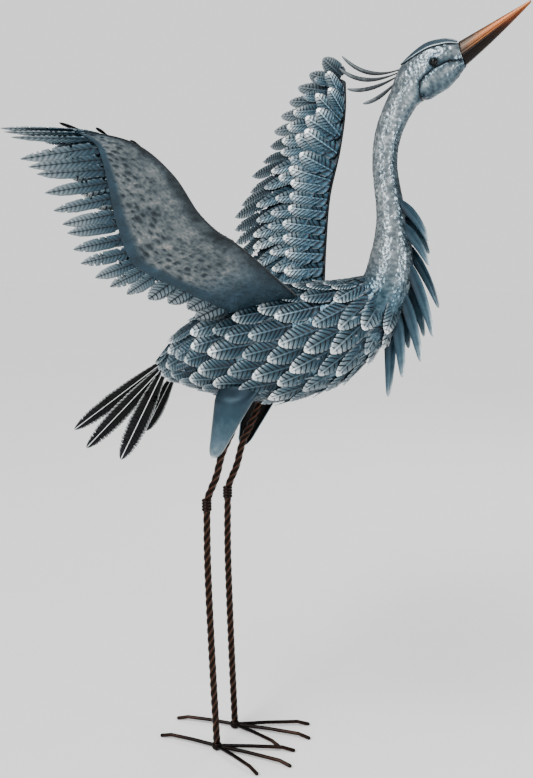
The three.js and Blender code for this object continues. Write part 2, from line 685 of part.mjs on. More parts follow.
add('upper_bill', billHalf(BILL.split, 1), 'copper');
add('lower_bill', billHalf(-1, BILL.split - BILL.seam), 'copper');
for (const [name, side] of [['left', 1], ['right', -1]]) {
  const ball = new THREE.SphereGeometry(EYE.radius, 10, 6).translate(EYE.x, side * EYE.y, EYE.z);
  add(`${name}_eye`, cutBy(ball, bodyCutter), 'eye_enamel');
}

const cap = crestCap(bodyCutter);
add('crest_cap', cap, 'feather_steel');
CREST_PLUMES.forEach((plume, index) => {
  add(`crest_plume_${index + 1}`, crestPlume(plume, bodyCutter), 'dark_steel');
});
BREAST_PLUMES.forEach((plume, index) => {
  add(`breast_plume_${index + 1}`, breastPlume(plume, index, bodyCutter), 'feather_steel');
});
TAIL_FEATHERS.forEach((quill, index) => {
  add(`tail_feather_${index + 1}`, tailFeather(quill, bodyCutter), 'dark_steel');
});

for (const wing of [RIGHT_WING, LEFT_WING]) {
  const surface = wingSurface(wing);
  add(`${wing.name}_wing_panel`, cutBy(wingPanel(surface), bodyCutter), 'hammered_steel');
  add(`${wing.name}_wing_primaries`, cutBy(wingPrimaries(surface, wing), bodyCutter), 'feather_steel');
  add(`${wing.name}_wing_coverts`, cutBy(wingCoverts(surface), bodyCutter), 'feather_steel');
}

for (const [name, side] of [['left', 1], ['right', -1]]) {
  const leg = new THREE.Group();
  bird.add(leg);
  add(`${name}_thigh`, thigh(name, side, bodyCutter), 'feather_steel', leg);
  const upper = twistedBar(UPPER_LEG.map(([x, z]) => vec(x, side * LEG_Y, z)));
  add(`${name}_upper_leg`, cutBy(upper, bodyCutter), 'bronzed_bar', leg);
  const footRun = LOWER_LEG[0][1] - LOWER_LEG.at(-1)[1];
  const lower = twistedBar(LOWER_LEG.map(([x, z]) => vec(
    x,
    side * lerp(LEG_Y, FOOT_Y, (LOWER_LEG[0][1] - z) / footRun),
    z,
  )));
  add(`${name}_lower_leg`, lower, 'bronzed_bar', leg);
  add(`${name}_knee_collar`, kneeCollar(), 'bronzed_bar', leg).position.set(KNEE.x, side * LEG_Y, 0);
  const foot = new THREE.Group();
  foot.position.set(0, side * FOOT_Y, 0);
  leg.add(foot);
  add(`${name}_foot_weld`, footWeld(), 'bronzed_bar', foot);
  for (const shape of TOES) {
    add(`${name}_foot_${shape.name}`, toe(shape, FOOT_TURN[name]), 'bronzed_bar', foot);
  }
}

const box = new THREE.Box3().setFromObject(bird);
const middle = box.getCenter(new THREE.Vector3());
bird.position.set(-middle.x, -middle.y, -box.min.z);

const sculpture = new THREE.Group();
sculpture.add(bird);

export default sculpture;
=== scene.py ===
# %% [markdown]
# # A garden crane in patinated sheet steel
# The bird stands about 1.16 m tall on two twisted bar legs, with its wings raised and its copper bill lifted.
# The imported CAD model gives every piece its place, so it is loaded first. Each solid is then dressed with a
# finer mesh that follows the same measurements, and nothing of the frame is moved.

# %% Load the frame
import json
import math
from functools import partial

import bmesh
import bpy
import numpy as np
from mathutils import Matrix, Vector

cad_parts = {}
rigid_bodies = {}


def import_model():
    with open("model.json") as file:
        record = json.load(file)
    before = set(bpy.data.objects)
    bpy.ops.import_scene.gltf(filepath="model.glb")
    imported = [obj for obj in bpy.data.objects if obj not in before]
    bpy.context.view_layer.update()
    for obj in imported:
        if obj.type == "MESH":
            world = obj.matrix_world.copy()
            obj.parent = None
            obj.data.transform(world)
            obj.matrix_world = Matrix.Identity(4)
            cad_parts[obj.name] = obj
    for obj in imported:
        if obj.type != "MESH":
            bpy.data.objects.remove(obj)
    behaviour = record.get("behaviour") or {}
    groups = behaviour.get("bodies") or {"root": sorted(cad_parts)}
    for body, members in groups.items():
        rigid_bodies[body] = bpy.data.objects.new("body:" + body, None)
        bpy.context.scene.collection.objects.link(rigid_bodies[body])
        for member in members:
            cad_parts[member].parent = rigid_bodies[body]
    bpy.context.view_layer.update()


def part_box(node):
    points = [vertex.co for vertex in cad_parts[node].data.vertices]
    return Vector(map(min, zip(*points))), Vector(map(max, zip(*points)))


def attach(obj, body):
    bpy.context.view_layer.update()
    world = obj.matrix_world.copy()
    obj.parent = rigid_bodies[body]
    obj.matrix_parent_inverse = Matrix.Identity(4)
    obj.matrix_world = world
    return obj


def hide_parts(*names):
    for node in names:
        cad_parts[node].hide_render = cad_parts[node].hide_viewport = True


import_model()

# %% [markdown]
# All measurements below are in millimetres from the point on the ground midway between the feet. The frame's
# origin is at the bottom centre of the whole bird instead, so one shift turns the first into the second. The
# two foot welds tell it, because the point lies midway between them.

# %% From the bird's own measurements to the frame
MM = 0.001
foot_corners = [corner for side in ("left", "right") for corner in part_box(side + "_foot_weld")]
HUB = sum(foot_corners, Vector()) / len(foot_corners)
HUB.z = 0


def placed(points):
    """Points in millimetres from the hub, as metres in the frame."""
    return np.asarray(points, float) * MM + np.array(HUB)


print("hub at", [round(v, 4) for v in HUB])

# %% [markdown]
# The photograph was taken from in front and to the right of the bird, a little above its middle and looking
# slightly down, from about 1.6 m. The lens is worked out from that distance and the size of the picture, whose
# long side is its height.

# %% Camera
PICTURE = (533, 778)
FOCAL_PIXELS = 1036
CAMERA_PLACE = (625, -1517, 858)
CAMERA_TURN, CAMERA_DIP = 20, 9

camera = bpy.data.objects.new("camera", bpy.data.cameras.new("camera"))
bpy.context.scene.collection.objects.link(camera)
bpy.context.scene.camera = camera
camera.data.sensor_width = 36
camera.data.lens = FOCAL_PIXELS / max(PICTURE) * camera.data.sensor_width
camera.location = placed(CAMERA_PLACE)
camera.rotation_euler = (math.radians(90 - CAMERA_DIP), 0, math.radians(CAMERA_TURN))
print("lens", round(camera.data.lens, 1), "mm")

# %% [markdown]
# ## Small tools
# A mesh is made from arrays of points. A closed tube is a row of rings with both ends filled, and a closed sheet
# is an upper and a lower grid joined round their rim. Named numbers on the points, such as how high a spot stands
# or how far along a feather it lies, are kept with the mesh, and the finishes read them.

# %% Meshes from arrays of points
def make_mesh(name, points, faces, numbers=None):
    mesh = bpy.data.meshes.new(name)
    mesh.from_pydata([tuple(p) for p in points], [], faces)
    for key, values in (numbers or {}).items():
        kind, field = ("FLOAT_VECTOR", "vector") if np.ndim(values) == 2 else ("FLOAT", "value")
        layer = mesh.attributes.new(key, kind, "POINT")
        layer.data.foreach_set(field, np.asarray(values, np.float32).ravel())
    if faces:
        form = bmesh.new()
        form.from_mesh(mesh)
        bmesh.ops.recalc_face_normals(form, faces=form.faces)
        form.to_mesh(mesh)
        form.free()
        mesh.shade_smooth()
    mesh.update()
    return mesh


def make_object(mesh):
    thing = bpy.data.objects.new(mesh.name, mesh)
    bpy.context.scene.collection.objects.link(thing)
    return thing


def grid_faces(rows, columns, start=0, closed=False):
    faces = []
    for i in range(rows - 1):
        for j in range(columns if closed else columns - 1):
            near, far = start + i * columns, start + (i + 1) * columns
            k = (j + 1) % columns
            faces.append((near + j, near + k, far + k, far + j))
    return faces


def tube_mesh(name, rings, numbers=None):
    """Rings of points, all of one length, joined into a closed tube."""
    rings = np.asarray(rings, float)
    rows, columns, _ = rings.shape
    last = (rows - 1) * columns
    ends = [tuple(range(columns)), tuple(range(last, last + columns))]
    flat = {key: np.ravel(values) for key, values in (numbers or {}).items()}
    return make_mesh(name, placed(rings.reshape(-1, 3)), grid_faces(rows, columns, closed=True) + ends, flat)


def sheet_mesh(name, upper, lower, numbers, under=None, place=placed):
    """Two grids of one size, joined round their rim. Numbers in under hold for the lower grid."""
    rows, columns, _ = upper.shape
    size = rows * columns
    faces = grid_faces(rows, columns) + grid_faces(rows, columns, size)
    rim = [(i, 0) for i in range(rows)] + [(rows - 1, j) for j in range(1, columns)]
    rim += [(i, columns - 1) for i in range(rows - 2, -1, -1)] + [(0, j) for j in range(columns - 2, 0, -1)]
    loop = [i * columns + j for i, j in rim]
    for a, b in zip(loop, loop[1:] + loop[:1]):
        faces.append((a, b, b + size, a + size))
    both = {key: np.concatenate([np.ravel(values), np.ravel((under or {}).get(key, values))])
            for key, values in numbers.items()}
    return make_mesh(name, place(np.concatenate([upper, lower]).reshape(-1, 3)), faces, both)


# %% [markdown]
# The bird's lines, such as its spine and the edges of its wings, are smooth curves through a few stations. The
# curve is the centripetal Catmull-Rom one, which passes through each station and doesn't overshoot.

# %% Smooth lines and other small sums
def smooth_line(stations, share):
    """The point at that share, 0 to 1, of the way through the stations."""
    p = np.asarray(stations, float)
    last = len(p) - 1
    place = share * last
    i = int(min(max(math.floor(place), 0), last - 1))
    w = place - i
    p1, p2 = p[i], p[i + 1]
    p0 = p[i - 1] if i > 0 else 2 * p1 - p2
    p3 = p[i + 2] if i + 2 <= last else 2 * p2 - p1
    d0, d1, d2 = (max(1e-4, np.linalg.norm(b - a)) ** 0.5 for a, b in ((p0, p1), (p1, p2), (p2, p3)))
    t1 = ((p1 - p0) / d0 - (p2 - p0) / (d0 + d1) + (p2 - p1) / d1) * d1
    t2 = ((p2 - p1) / d1 - (p3 - p1) / (d1 + d2) + (p3 - p2) / d2) * d1
    return p1 + t1 * w + (3 * p2 - 3 * p1 - 2 * t1 - t2) * w ** 2 + (2 * p1 - 2 * p2 + t1 + t2) * w ** 3


def smooth_points(stations, shares):
    return np.array([smooth_line(stations, share) for share in shares])


def run_along(points):
    """How far each point lies from the first one, measured along the line."""
    return np.concatenate([[0], np.cumsum(np.linalg.norm(np.diff(points, axis=0), axis=1))])


def unit(vector):
    vector = np.asarray(vector, float)
    return vector / np.linalg.norm(vector, axis=-1, keepdims=True)


def between(first, last, share):
    return first + (last - first) * share


def ease(low, high, value):
    """0 below low, 1 above high, and a smooth step between."""
    t = np.clip((np.asarray(value, float) - low) / (high - low), 0, 1)
    return t * t * (3 - 2 * t)


def bell(away, width):
    """1 where away is 0, and close to 0 beyond twice the width."""
    return np.exp(-(away / width) ** 2)


def full_turn(count):
    return np.arange(count) * 2 * math.pi / count


def grid(rows, columns, low=-1):
    """Shares down the rows, from 0 to 1, and across the columns, from low to 1."""
    return np.linspace(0, 1, rows)[:, None], np.linspace(low, 1, columns)[None, :]


def moved(start, *moves):
    """Points moved from their start along each direction by its own array of distances."""
    for direction, distance in moves:
        start = start + direction * np.asarray(distance)[..., None]
    return start


LEFTWARD, UPWARD = np.array([0, 1, 0]), np.array([0, 0, 1])


# %% [markdown]
# Hammer marks are small round hollows, scattered about evenly spaced places. The same table of random numbers
# serves every piece, so the marks are the same each time the script runs.

# %% Hammer marks
TABLE = 64
SCATTER = np.random.default_rng(7).random((TABLE, TABLE, 3))


def hammer_marks(s, t, pitch, radius, rows_around=TABLE):
    """How deep the marks are, 0 to 1, at places s and t in millimetres. Rows of marks repeat after rows_around."""
    column, row = np.floor(s / pitch).astype(int), np.floor(t / pitch).astype(int)
    depth = np.zeros(np.shape(s))
    for di in (-1, 0, 1):
        for dj in (-1, 0, 1):
            jitter = SCATTER[(column + di) % TABLE, (row + dj) % rows_around]
            away_s = s - (column + di + 0.15 + 0.7 * jitter[..., 0]) * pitch
            away_t = t - (row + dj + 0.15 + 0.7 * jitter[..., 1]) * pitch
            away = np.hypot(away_s, away_t) / (radius * (0.6 + 0.7 * jitter[..., 2]))
            depth = np.maximum(depth, np.clip(1 - away ** 2, 0, 1) ** 1.5)
    return depth


# %% [markdown]
# ## Finishes
# Everything but the eyes is sheet or bar metal under a metallic paint that was wiped back while wet. Grooves are
# painted dark, partly paint left in them and partly painted shade, and whatever stands proud is painted silver or
# copper, partly wear and partly painted highlight. Colours are given as they look on a screen, and one function
# turns them into the linear values that the renderer adds up. A pattern's scale is how many of its features fit in
# a metre, so 200 makes them 5 mm wide.

# %% Colours and nodes
SHADER = "Principled BSDF"
MIX_A, MIX_B = 6, 7
COLOUR_MIX = {"data_type": "RGBA", "out": 2}


def linear(colour):
    shares = [int(colour[i:i + 2], 16) / 255 for i in (1, 3, 5)]
    return tuple(c / 12.92 if c <= 0.04045 else ((c + 0.055) / 1.055) ** 2.4 for c in shares) + (1,)


def feed(node, inputs):
    """Gives each input its value, or the link from another node's output."""
    for key, value in inputs.items():
        if isinstance(value, bpy.types.NodeSocket):
            node.id_data.links.new(value, node.inputs[key])
        else:
            node.inputs[key].default_value = value


def add_node(tree, kind, inputs=None, stops=(), out=0, **settings):
    """Adds a node with its settings, inputs and colour ramp stops, and gives back one of its outputs."""
    node = tree.nodes.new(kind)
    for name, value in settings.items():
        setattr(node, name, value)
    feed(node, inputs or {})
    if stops:
        ramp = node.color_ramp
        while len(ramp.elements) < len(stops):
            ramp.elements.new(0.5)
        for element, (position, colour) in zip(ramp.elements, stops):
            element.position = position
            element.color = linear(colour)
    return node.outputs[out] if node.outputs else None


def new_finish(name, numbers=(), **constants):
    """A material with its shader's constant values. Gives it, a function that adds nodes to it, its shader, its
    object coordinates and the outputs that read the mesh's own numbers."""
    finish = bpy.data.materials.new(name)
    finish.use_nodes = True
    tree = finish.node_tree
    shader = tree.nodes[SHADER]
    feed(shader, {key.replace("_", " "): value for key, value in constants.items()})
    add = partial(add_node, tree)
    read = (add("ShaderNodeAttribute", out="Fac", attribute_name=number) for number in numbers)
    return finish, add, shader, add("ShaderNodeTexCoord", out="Object"), *read


def surface(add, shader, colour, rough_by, low, high, bump_by, strength, depth):
    """The shader's colour, a roughness from low to high by one pattern, and bumps by another, deep in metres."""
    rough = add("ShaderNodeMapRange", {"Value": rough_by, "To Min": low, "To Max": high})
    bump = add("ShaderNodeBump", {"Height": bump_by, "Strength": strength, "Distance": depth})
    feed(shader, {"Base Color": colour, "Roughness": rough, "Normal": bump})


# %% [markdown]
# ### Stamped feather steel
# Thin steel stamped with a midrib and slanting barbs, painted teal blue and wiped, so that each feather goes from
# a dark blue root to a silver, worn tip; the dark root end is partly painted shade where the next feathers cover it.
# The grooves between barbs are nearly black, partly paint left in them and partly painted shade, and the edges, and
# the midribs of leaves and quills, are painted bare silver as highlight. The meshes carry three numbers: along, from
# root to tip; crest, from groove to ridge, which also carries the painted shade and highlight; and tone, a random
# shade for each feather. The paint varies in patches of 22 mm. Its real grain is finer than the 2 mm drawn here,
# which is what the picture shows.

# %% Stamped feather steel
PATCH_SHARE, TONE_SHARE = 0.42, 0.14
PATCH_SCALE, GRAIN_SCALE = 45, 500
# Groove shade stops: the grooves are painted darker, partly paint left in them and partly painted shade.
GROOVE_SHADE = [(0, "#05090d"), (0.3, "#26323b"), (0.6, "#a9b4b9"), (1, "#ffffff")]


def wiped_and_lit_feather_finish(name, bare, shades, metallic=0.62, roughness=0.4, grooves=GROOVE_SHADE, **constants):
    """Paint that goes from root to tip through the shades. It is dark in the grooves, as paint left there and
    painted shade, and bare silver where crest is over 1, as painted highlight.
    """
    finish, add, shader, place, along, crest, tone = new_finish(
        name, ("along", "crest", "tone"), Metallic=metallic, **constants)
    patches = add("ShaderNodeTexNoise", {"Vector": place, "Scale": PATCH_SCALE, "Detail": 5, "Roughness": 0.65})
    spread = add("ShaderNodeMath", {0: patches, 1: PATCH_SHARE, 2: along}, operation="MULTIPLY_ADD")
    aged = add("ShaderNodeMath", {0: tone, 1: TONE_SHARE, 2: spread}, operation="MULTIPLY_ADD")
    centred = add("ShaderNodeMath", {0: aged, 1: (PATCH_SHARE + TONE_SHARE) / 2}, operation="SUBTRACT")
    paint = add("ShaderNodeValToRGB", {"Fac": centred}, shades)
    # Darker in the grooves: partly paint left there, partly painted shade.
    groove_shade = add("ShaderNodeValToRGB", {"Fac": crest}, grooves)
    coat = add("ShaderNodeMix", {0: 1, MIX_A: paint, MIX_B: groove_shade}, blend_type="MULTIPLY", **COLOUR_MIX)
    # Bare silver where crest is over 1.2: painted highlight on edges and midribs.
    painted_highlight = add("ShaderNodeMapRange", {"Value": crest, "From Min": 1.2, "From Max": 2.4})
    coat = add("ShaderNodeMix", {0: painted_highlight, MIX_A: coat, MIX_B: linear(bare)}, **COLOUR_MIX)
    grain = add("ShaderNodeTexNoise", {"Vector": place, "Scale": GRAIN_SCALE, "Detail": 3})
    surface(add, shader, coat, grain, roughness - 0.1, roughness + 0.12, grain, 0.25, 0.0006)
    return finish


# The dark root end of these shades is partly painted shade where the next feathers cover it.
feather_steel = wiped_and_lit_feather_finish("feather_steel_wiped_teal", "#dde3e5", [
    (0, "#122a38"), (0.42, "#223c4a"), (0.66, "#3b5460"), (0.84, "#667780"), (0.95, "#bfc8cc"), (1, "#f2f4f4")])
# A lighter copy of the feather steel for the coverts, as painted light on the wings' feathered side.
lit_covert_steel = wiped_and_lit_feather_finish("feather_steel_wiped_silver", "#e4e9ea", [
    (0, "#1d4052"), (0.4, "#385767"), (0.66, "#5b7582"), (0.84, "#8f9ea6"), (0.94, "#dadfe0"), (1, "#fbfbfa")])
blade_steel = wiped_and_lit_feather_finish("blade_steel_wiped_grey", "#c9d0d3", [
    (0, "#183040"), (0.22, "#284250"), (0.45, "#4c606a"), (0.68, "#727f86"), (0.9, "#8d969b"), (1, "#7c8489")],
    metallic=0.6, roughness=0.42)
dark_steel = wiped_and_lit_feather_finish("dark_steel_wiped_navy", "#e2e6e8", [
    (0, "#020203"), (0.5, "#040506"), (0.85, "#080a0e"), (1, "#12161c")], metallic=0.2, roughness=0.55,
    grooves=[(0, "#14181e"), (0.5, "#8d97a2"), (1, "#ffffff")], Specular_IOR_Level=0.15)

# %% [markdown]
# ### Hammered sheet
# The outer side of each wing is one sheet, hammered all over while it lay on a sandbag. It is painted slate grey
# in the middle and blue toward its rear edge and root. The high spots between the marks are wiped to a warm pale
# grey, in clouds of 36 mm and specks of 8 mm, which is partly painted highlight, and the marks are darker, partly
# paint left in them and partly painted shade. The mesh carries crest for the marks and their painted light, blue for
# how blue the paint is, and rim for the dark rolled edge.

# %% Hammered sheet
hammered_steel, add, shader, place, crest, blue, rim = new_finish(
    "hammered_steel_slate", ("crest", "blue", "rim"), Metallic=0.6)
clouds = add("ShaderNodeTexNoise", {"Vector": place, "Scale": 28, "Detail": 6, "Roughness": 0.66})
specks = add("ShaderNodeTexNoise", {"Vector": place, "Scale": 130, "Detail": 4, "Roughness": 0.6})
lit = add("ShaderNodeMath", {0: clouds, 1: 1.3, 2: crest}, operation="MULTIPLY_ADD")
lit = add("ShaderNodeMath", {0: specks, 1: 0.7, 2: lit}, operation="MULTIPLY_ADD")
lit = add("ShaderNodeMath", {0: lit, 1: 1.3}, operation="SUBTRACT")
slate = add("ShaderNodeValToRGB", {"Fac": lit}, [
    (0, "#11181c"), (0.25, "#252f35"), (0.5, "#434d52"), (0.72, "#616769"), (0.95, "#918e8a")])
teal = add("ShaderNodeValToRGB", {"Fac": lit}, [(0, "#101d25"), (0.6, "#233946"), (1, "#3e5766")])
mottle = add("ShaderNodeMath", {0: clouds, 1: 0.8, 2: blue}, operation="MULTIPLY_ADD")
mottle = add("ShaderNodeMapRange", {"Value": mottle, "From Min": 0.55, "From Max": 1.1})
coat = add("ShaderNodeMix", {0: mottle, MIX_A: slate, MIX_B: teal}, **COLOUR_MIX)
coat = add("ShaderNodeMix", {0: rim, MIX_A: coat, MIX_B: linear("#10161b")}, **COLOUR_MIX)
surface(add, shader, coat, specks, 0.3, 0.46, specks, 0.7, 0.002)

# %% [markdown]
# ### Planished neck steel
# Neck and head are beaten to shape with a small round hammer, which leaves shallow marks about 7 mm apart that
# catch the light one by one. The paint is wiped almost away, so it is silver, with teal left in the hollows, round
# the eye and where the neck meets the breast. Under the throat and below the cheek seam it is painted darker and
# teal as shade.

# %% Planished neck steel
neck_steel, add, shader, place, crest, blue = new_finish("neck_steel_planished", ("crest", "blue"), Metallic=0.72)
clouds = add("ShaderNodeTexNoise", {"Vector": place, "Scale": 85, "Detail": 3, "Roughness": 0.5})
flecks = add("ShaderNodeTexVoronoi", {"Vector": place, "Scale": 190, "Randomness": 1})
calm = add("ShaderNodeMapRange", {"Value": clouds, "To Min": 0.2, "To Max": 0.8})
lit = add("ShaderNodeMath", {0: crest, 1: 0.26, 2: calm}, operation="MULTIPLY_ADD")
lit = add("ShaderNodeMath", {0: flecks, 1: 0.1, 2: lit}, operation="MULTIPLY_ADD")
silver = add("ShaderNodeValToRGB", {"Fac": lit}, [
    (0.05, "#06090c"), (0.3, "#303d44"), (0.48, "#566269"), (0.72, "#7d888d"), (0.92, "#b6bdc0")])
teal = add("ShaderNodeValToRGB", {"Fac": lit}, [
    (0.05, "#06090c"), (0.35, "#1b303c"), (0.6, "#2f4956"), (0.95, "#5a717d")])
coat = add("ShaderNodeMix", {0: blue, MIX_A: silver, MIX_B: teal}, **COLOUR_MIX)
surface(add, shader, coat, clouds, 0.14, 0.3, flecks, 1, 0.001)

# %% [markdown]
# ### Bronzed bar, copper bill, painted sheet and eye enamel
# The legs are dark brown, painted lighter on the arrises of the twist as highlight. The bill is copper that darkens
# to brown at its root, with fine lines drawn along it. The thighs, the crown's cap and the breast plumes are smooth
# painted sheet, teal that fades to silver, with painted shade and highlight on them, and the crest plumes are the
# same in grey. The wiping leaves them mottled at 7 to 17 mm. The eyes are glossy black enamel.

# %% Bronze, copper, painted sheet and enamel
def tone_and_light_finish(name, metallic, roughness, noise_scale, noise_share, shades):
    """Paint whose shade follows the mesh's own number, crest, with its painted light, broken up by fine noise."""
    finish, add, shader, place, crest = new_finish(name, ("crest",), Metallic=metallic)
    noise = add("ShaderNodeTexNoise", {"Vector": place, "Scale": noise_scale, "Detail": 5, "Roughness": 0.65})
    mixed = add("ShaderNodeMath", {0: noise, 1: noise_share, 2: crest}, operation="MULTIPLY_ADD")
    centred = add("ShaderNodeMath", {0: mixed, 1: noise_share / 2}, operation="SUBTRACT")
    paint = add("ShaderNodeValToRGB", {"Fac": centred}, shades)
    surface(add, shader, paint, noise, roughness - 0.1, roughness + 0.1, noise, 0.3, 0.0008)
    return finish


def drawn_copper(name, shades):
    """Copper with fine lines drawn along the bill. The mesh's own number, streak, tells one line from the next."""
    finish = tone_and_light_finish(name, 0.7, 0.38, 60, 0.16, shades)
    add, shader = partial(add_node, finish.node_tree), finish.node_tree.nodes[SHADER]
    paint = shader.inputs["Base Color"].links[0].from_socket
    streak = add("ShaderNodeAttribute", out="Fac", attribute_name="streak")
    lines = add("ShaderNodeTexNoise", {"W": streak, "Scale": 8, "Detail": 4, "Roughness": 0.8}, noise_dimensions="1D")
    shade = add("ShaderNodeValToRGB", {"Fac": lines}, [(0.36, "#41342e"), (0.47, "#b5a69d"), (0.56, "#ffffff")])
    drawn = add("ShaderNodeMix", {0: 1, MIX_A: paint, MIX_B: shade}, blend_type="MULTIPLY", **COLOUR_MIX)
    feed(shader, {"Base Color": drawn})
    return finish


# The bar's arrises are painted lighter by crest, as highlight.
bronzed_bar = tone_and_light_finish("bronzed_bar_rubbed", 0.85, 0.3, 140, 0.3, [
    (0, "#060302"), (0.45, "#130a07"), (0.75, "#26160f"), (1, "#513425")])
bright_copper = drawn_copper("copper_bill_bright", [
    (0, "#33281f"), (0.28, "#5f5248"), (0.42, "#95643f"), (0.66, "#bd7140"), (1, "#cc8a5c")])
dark_copper = drawn_copper("copper_bill_browned", [
    (0, "#0b0705"), (0.45, "#190e09"), (0.62, "#3b1f11"), (0.82, "#884823"), (1, "#a6642f")])
painted_sheet = tone_and_light_finish("painted_sheet_faded_teal", 0.6, 0.42, 75, 0.4, [
    (0, "#050404"), (0.1, "#11232e"), (0.4, "#223b48"), (0.65, "#465b67"), (0.85, "#7f8e95"), (1, "#bcc5c8")])
plume_steel = tone_and_light_finish("plume_steel_grey", 0.55, 0.42, 110, 0.5, [
    (0, "#050607"), (0.45, "#101417"), (0.8, "#2a3034"), (1, "#5b6266")])
eye_enamel, add, shader, place = new_finish("eye_enamel_gloss", Roughness=0.03, Specular_IOR_Level=0.22)
dust = add("ShaderNodeTexNoise", {"Vector": place, "Scale": 300, "Detail": 2})
feed(shader, {"Base Color": add("ShaderNodeValToRGB", {"Fac": dust}, [(0.3, "#020203"), (0.8, "#050607")])})


def dress(mesh, finish, slot, *nodes):
    """Gives a piece its finish and lets it stand for CAD nodes, on the bird's one body."""
    piece = make_object(mesh)
    piece.data.materials.clear()
    piece.data.materials.append(finish)
    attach(piece, "root")
    if nodes:
        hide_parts(*nodes)
    print(piece.name, len(piece.data.polygons), "faces")
    return piece


# %% [markdown]
# ## Feathers by the hundred
# The real bird has a few stamping dies, and each die's feather is fixed on many times. So a few small feathers
# are made for each kind, each split in other places, in a unit size: from 0 to 1 along, from -1 to 1 across, and
# millimetres high. A tree of geometry nodes then sets one of them on every point of a guide, turned and sized by
# three numbers kept on that point: along, the direction to its tip; up, the side that faces out; and size.
#
# A feather is a sheet whose rows run out along the barbs. Each barb has four rows, at the shares that steps gives:
# two for the groove before it, where the edge is nicked, and two for the edges of its crown. Each row has seven
# points, from edge to edge with the midrib in the middle. On top, the rows beside the midrib are painted half dark
# as shade, the edges are painted light as highlight, and the midrib takes its own painted light from rib_shade.
# Underneath, the stamped midrib is a furrow painted dark as shade.

# %% Feather dies
BARB_LEVELS = (0, 0, 1, 0.95)
SLANTED_FROM = 0.2
TIP_CLEARS = (0.86, 0.97)
HALFWAY = 0.58
REACH = np.array([1, 0.5, 0.06, 0, 0.06, 0.5, 1])
RIPPLE = np.array([0.8, 1, 0.5, 0, 0.5, 1, 0.8])
ON_RIB = np.array([0, 0, 0, 1, 0, 0, 0])
ON_LEFT_EDGE, ON_RIGHT_EDGE = np.array([1, 0, 0, 0, 0, 0, 0]), np.array([0, 0, 0, 0, 0, 0, 1])


def feather_dies(kind, count, **die):
    """A collection of feathers of one kind. Each side is nicked at every barb and split deeper at a few."""
    dies = bpy.data.collections.new(kind)
    barbs, edge_highlight = die["barbs"], die["edge"]
    v = np.array([(barb + step) / barbs for barb in range(barbs) for step in die["steps"]] + [1.0])[:, None]
    level = np.array(list(BARB_LEVELS) * barbs + [1.0])[:, None]
    level = np.maximum(level, ease(*TIP_CLEARS, v))
    slanted = v + die["slant"] * (1 - v) * np.minimum(1, v / SLANTED_FROM)
    half = np.interp(slanted, *zip(*die["outline"]))
    shade, under_shade = (1 - die[key] * (1 - level) for key in ("dark", "under_dark"))
    for number in range(count):
        rng = np.random.default_rng(100 + number)
        split = rng.random((barbs + 1, 2)) < die["split_share"]
        cuts = die["nick"] + die["split"] * split * rng.uniform(0.6, 1, (barbs + 1, 2))
        curl = rng.normal(0, 0.25, (barbs + 1, 2))
        cuts, curl = (np.repeat(table, len(BARB_LEVELS), axis=0)[:len(v)] for table in (cuts, curl))
        ends = half * (1 - cuts * (1 - level))
        foot = np.minimum(die["foot"], half * 0.4)
        across = np.hstack([-ends[:, :1], -HALFWAY * half, -foot, 0 * v, foot, HALFWAY * half, ends[:, 1:]])
        forward = v + (slanted - v) * REACH
        lift = die["ripple"] * level * RIPPLE + die["rib"] * (1 - 0.6 * v) * ON_RIB - die["camber"] * across ** 2
        lift = lift + curl[:, :1] * ON_LEFT_EDGE + curl[:, 1:] * ON_RIGHT_EDGE
        # Painted light: the rows beside the rib are half dark as shade, the edges are over 1 as highlight, and the rib
        # takes rib_shade.
        crest = shade * np.array([edge_highlight, 1, 0.5, 0, 0.5, 1, edge_highlight])
        crest[:, 3] = die["rib_shade"]
        crest = np.maximum(crest, 0.9 * ease(*TIP_CLEARS, forward))
        # Underneath, the midrib's furrow is painted dark as shade.
        furrow = under_shade * np.array([edge_highlight, 1, 0.8, 0.2, 0.8, 1, edge_highlight])
        upper = np.stack([forward, across, lift], axis=-1)
        shape = make_object(sheet_mesh(
            f"{kind}_{number + 1}", upper, upper - np.array([0, 0, die["thickness"]]),
            {"along": forward, "crest": crest}, {"crest": furrow}, place=np.asarray))
        dies.objects.link(shape)
        bpy.context.scene.collection.objects.unlink(shape)
    return dies


leaf_dies = feather_dies(
    "leaf_die", 4, steps=(0, 0.08, 0.27, 0.88), barbs=9, slant=0.3, foot=0.11, rib=1.6, rib_shade=1.3, edge=1.5,
    dark=1, under_dark=0.8, ripple=1.1, nick=0.2, split=0.2, split_share=0.25, camber=1.5, thickness=0.7,
    outline=[(0, 0.74), (0.12, 0.9), (0.35, 1), (0.55, 0.98), (0.74, 0.85), (0.87, 0.63), (0.96, 0.35), (1, 0.1)])
blade_dies = feather_dies(
    "blade_die", 4, steps=(0, 0.12, 0.46, 0.7), barbs=14, slant=0.15, foot=0.1, rib=1.1, rib_shade=0.7, edge=1.5,
    dark=0.9, under_dark=0.42, ripple=0.4, nick=0.04, split=0.8, split_share=0.3, camber=0.6, thickness=0.8,
    outline=[(0, 0.8), (0.12, 0.95), (0.35, 1), (0.65, 0.97), (0.8, 0.78), (0.92, 0.4), (1, 0.03)])
# The quill's rib_shade of 3 paints its midrib white as a highlight, and its edges are painted light as highlight.
quill_dies = feather_dies(
    "quill_die", 4, steps=(0, 0.08, 0.27, 0.88), barbs=26, slant=0.13, foot=0.06, rib=1.8, rib_shade=3, edge=1.8,
    dark=0.8, under_dark=0.8, ripple=0.4, nick=0.3, split=0.62, split_share=0.34, camber=0.8, thickness=0.9,
    outline=[(0, 0.16), (0.2, 0.5), (0.45, 0.88), (0.65, 1), (0.82, 0.86), (0.92, 0.6), (0.98, 0.28), (1, 0.08)])

# %% [markdown]
# The tree is built once and used for every coat of feathers. Its inputs are the feather, the finish, how much the
# sizes differ and the seed of that difference. It ends in real geometry, because instances don't reach the export.

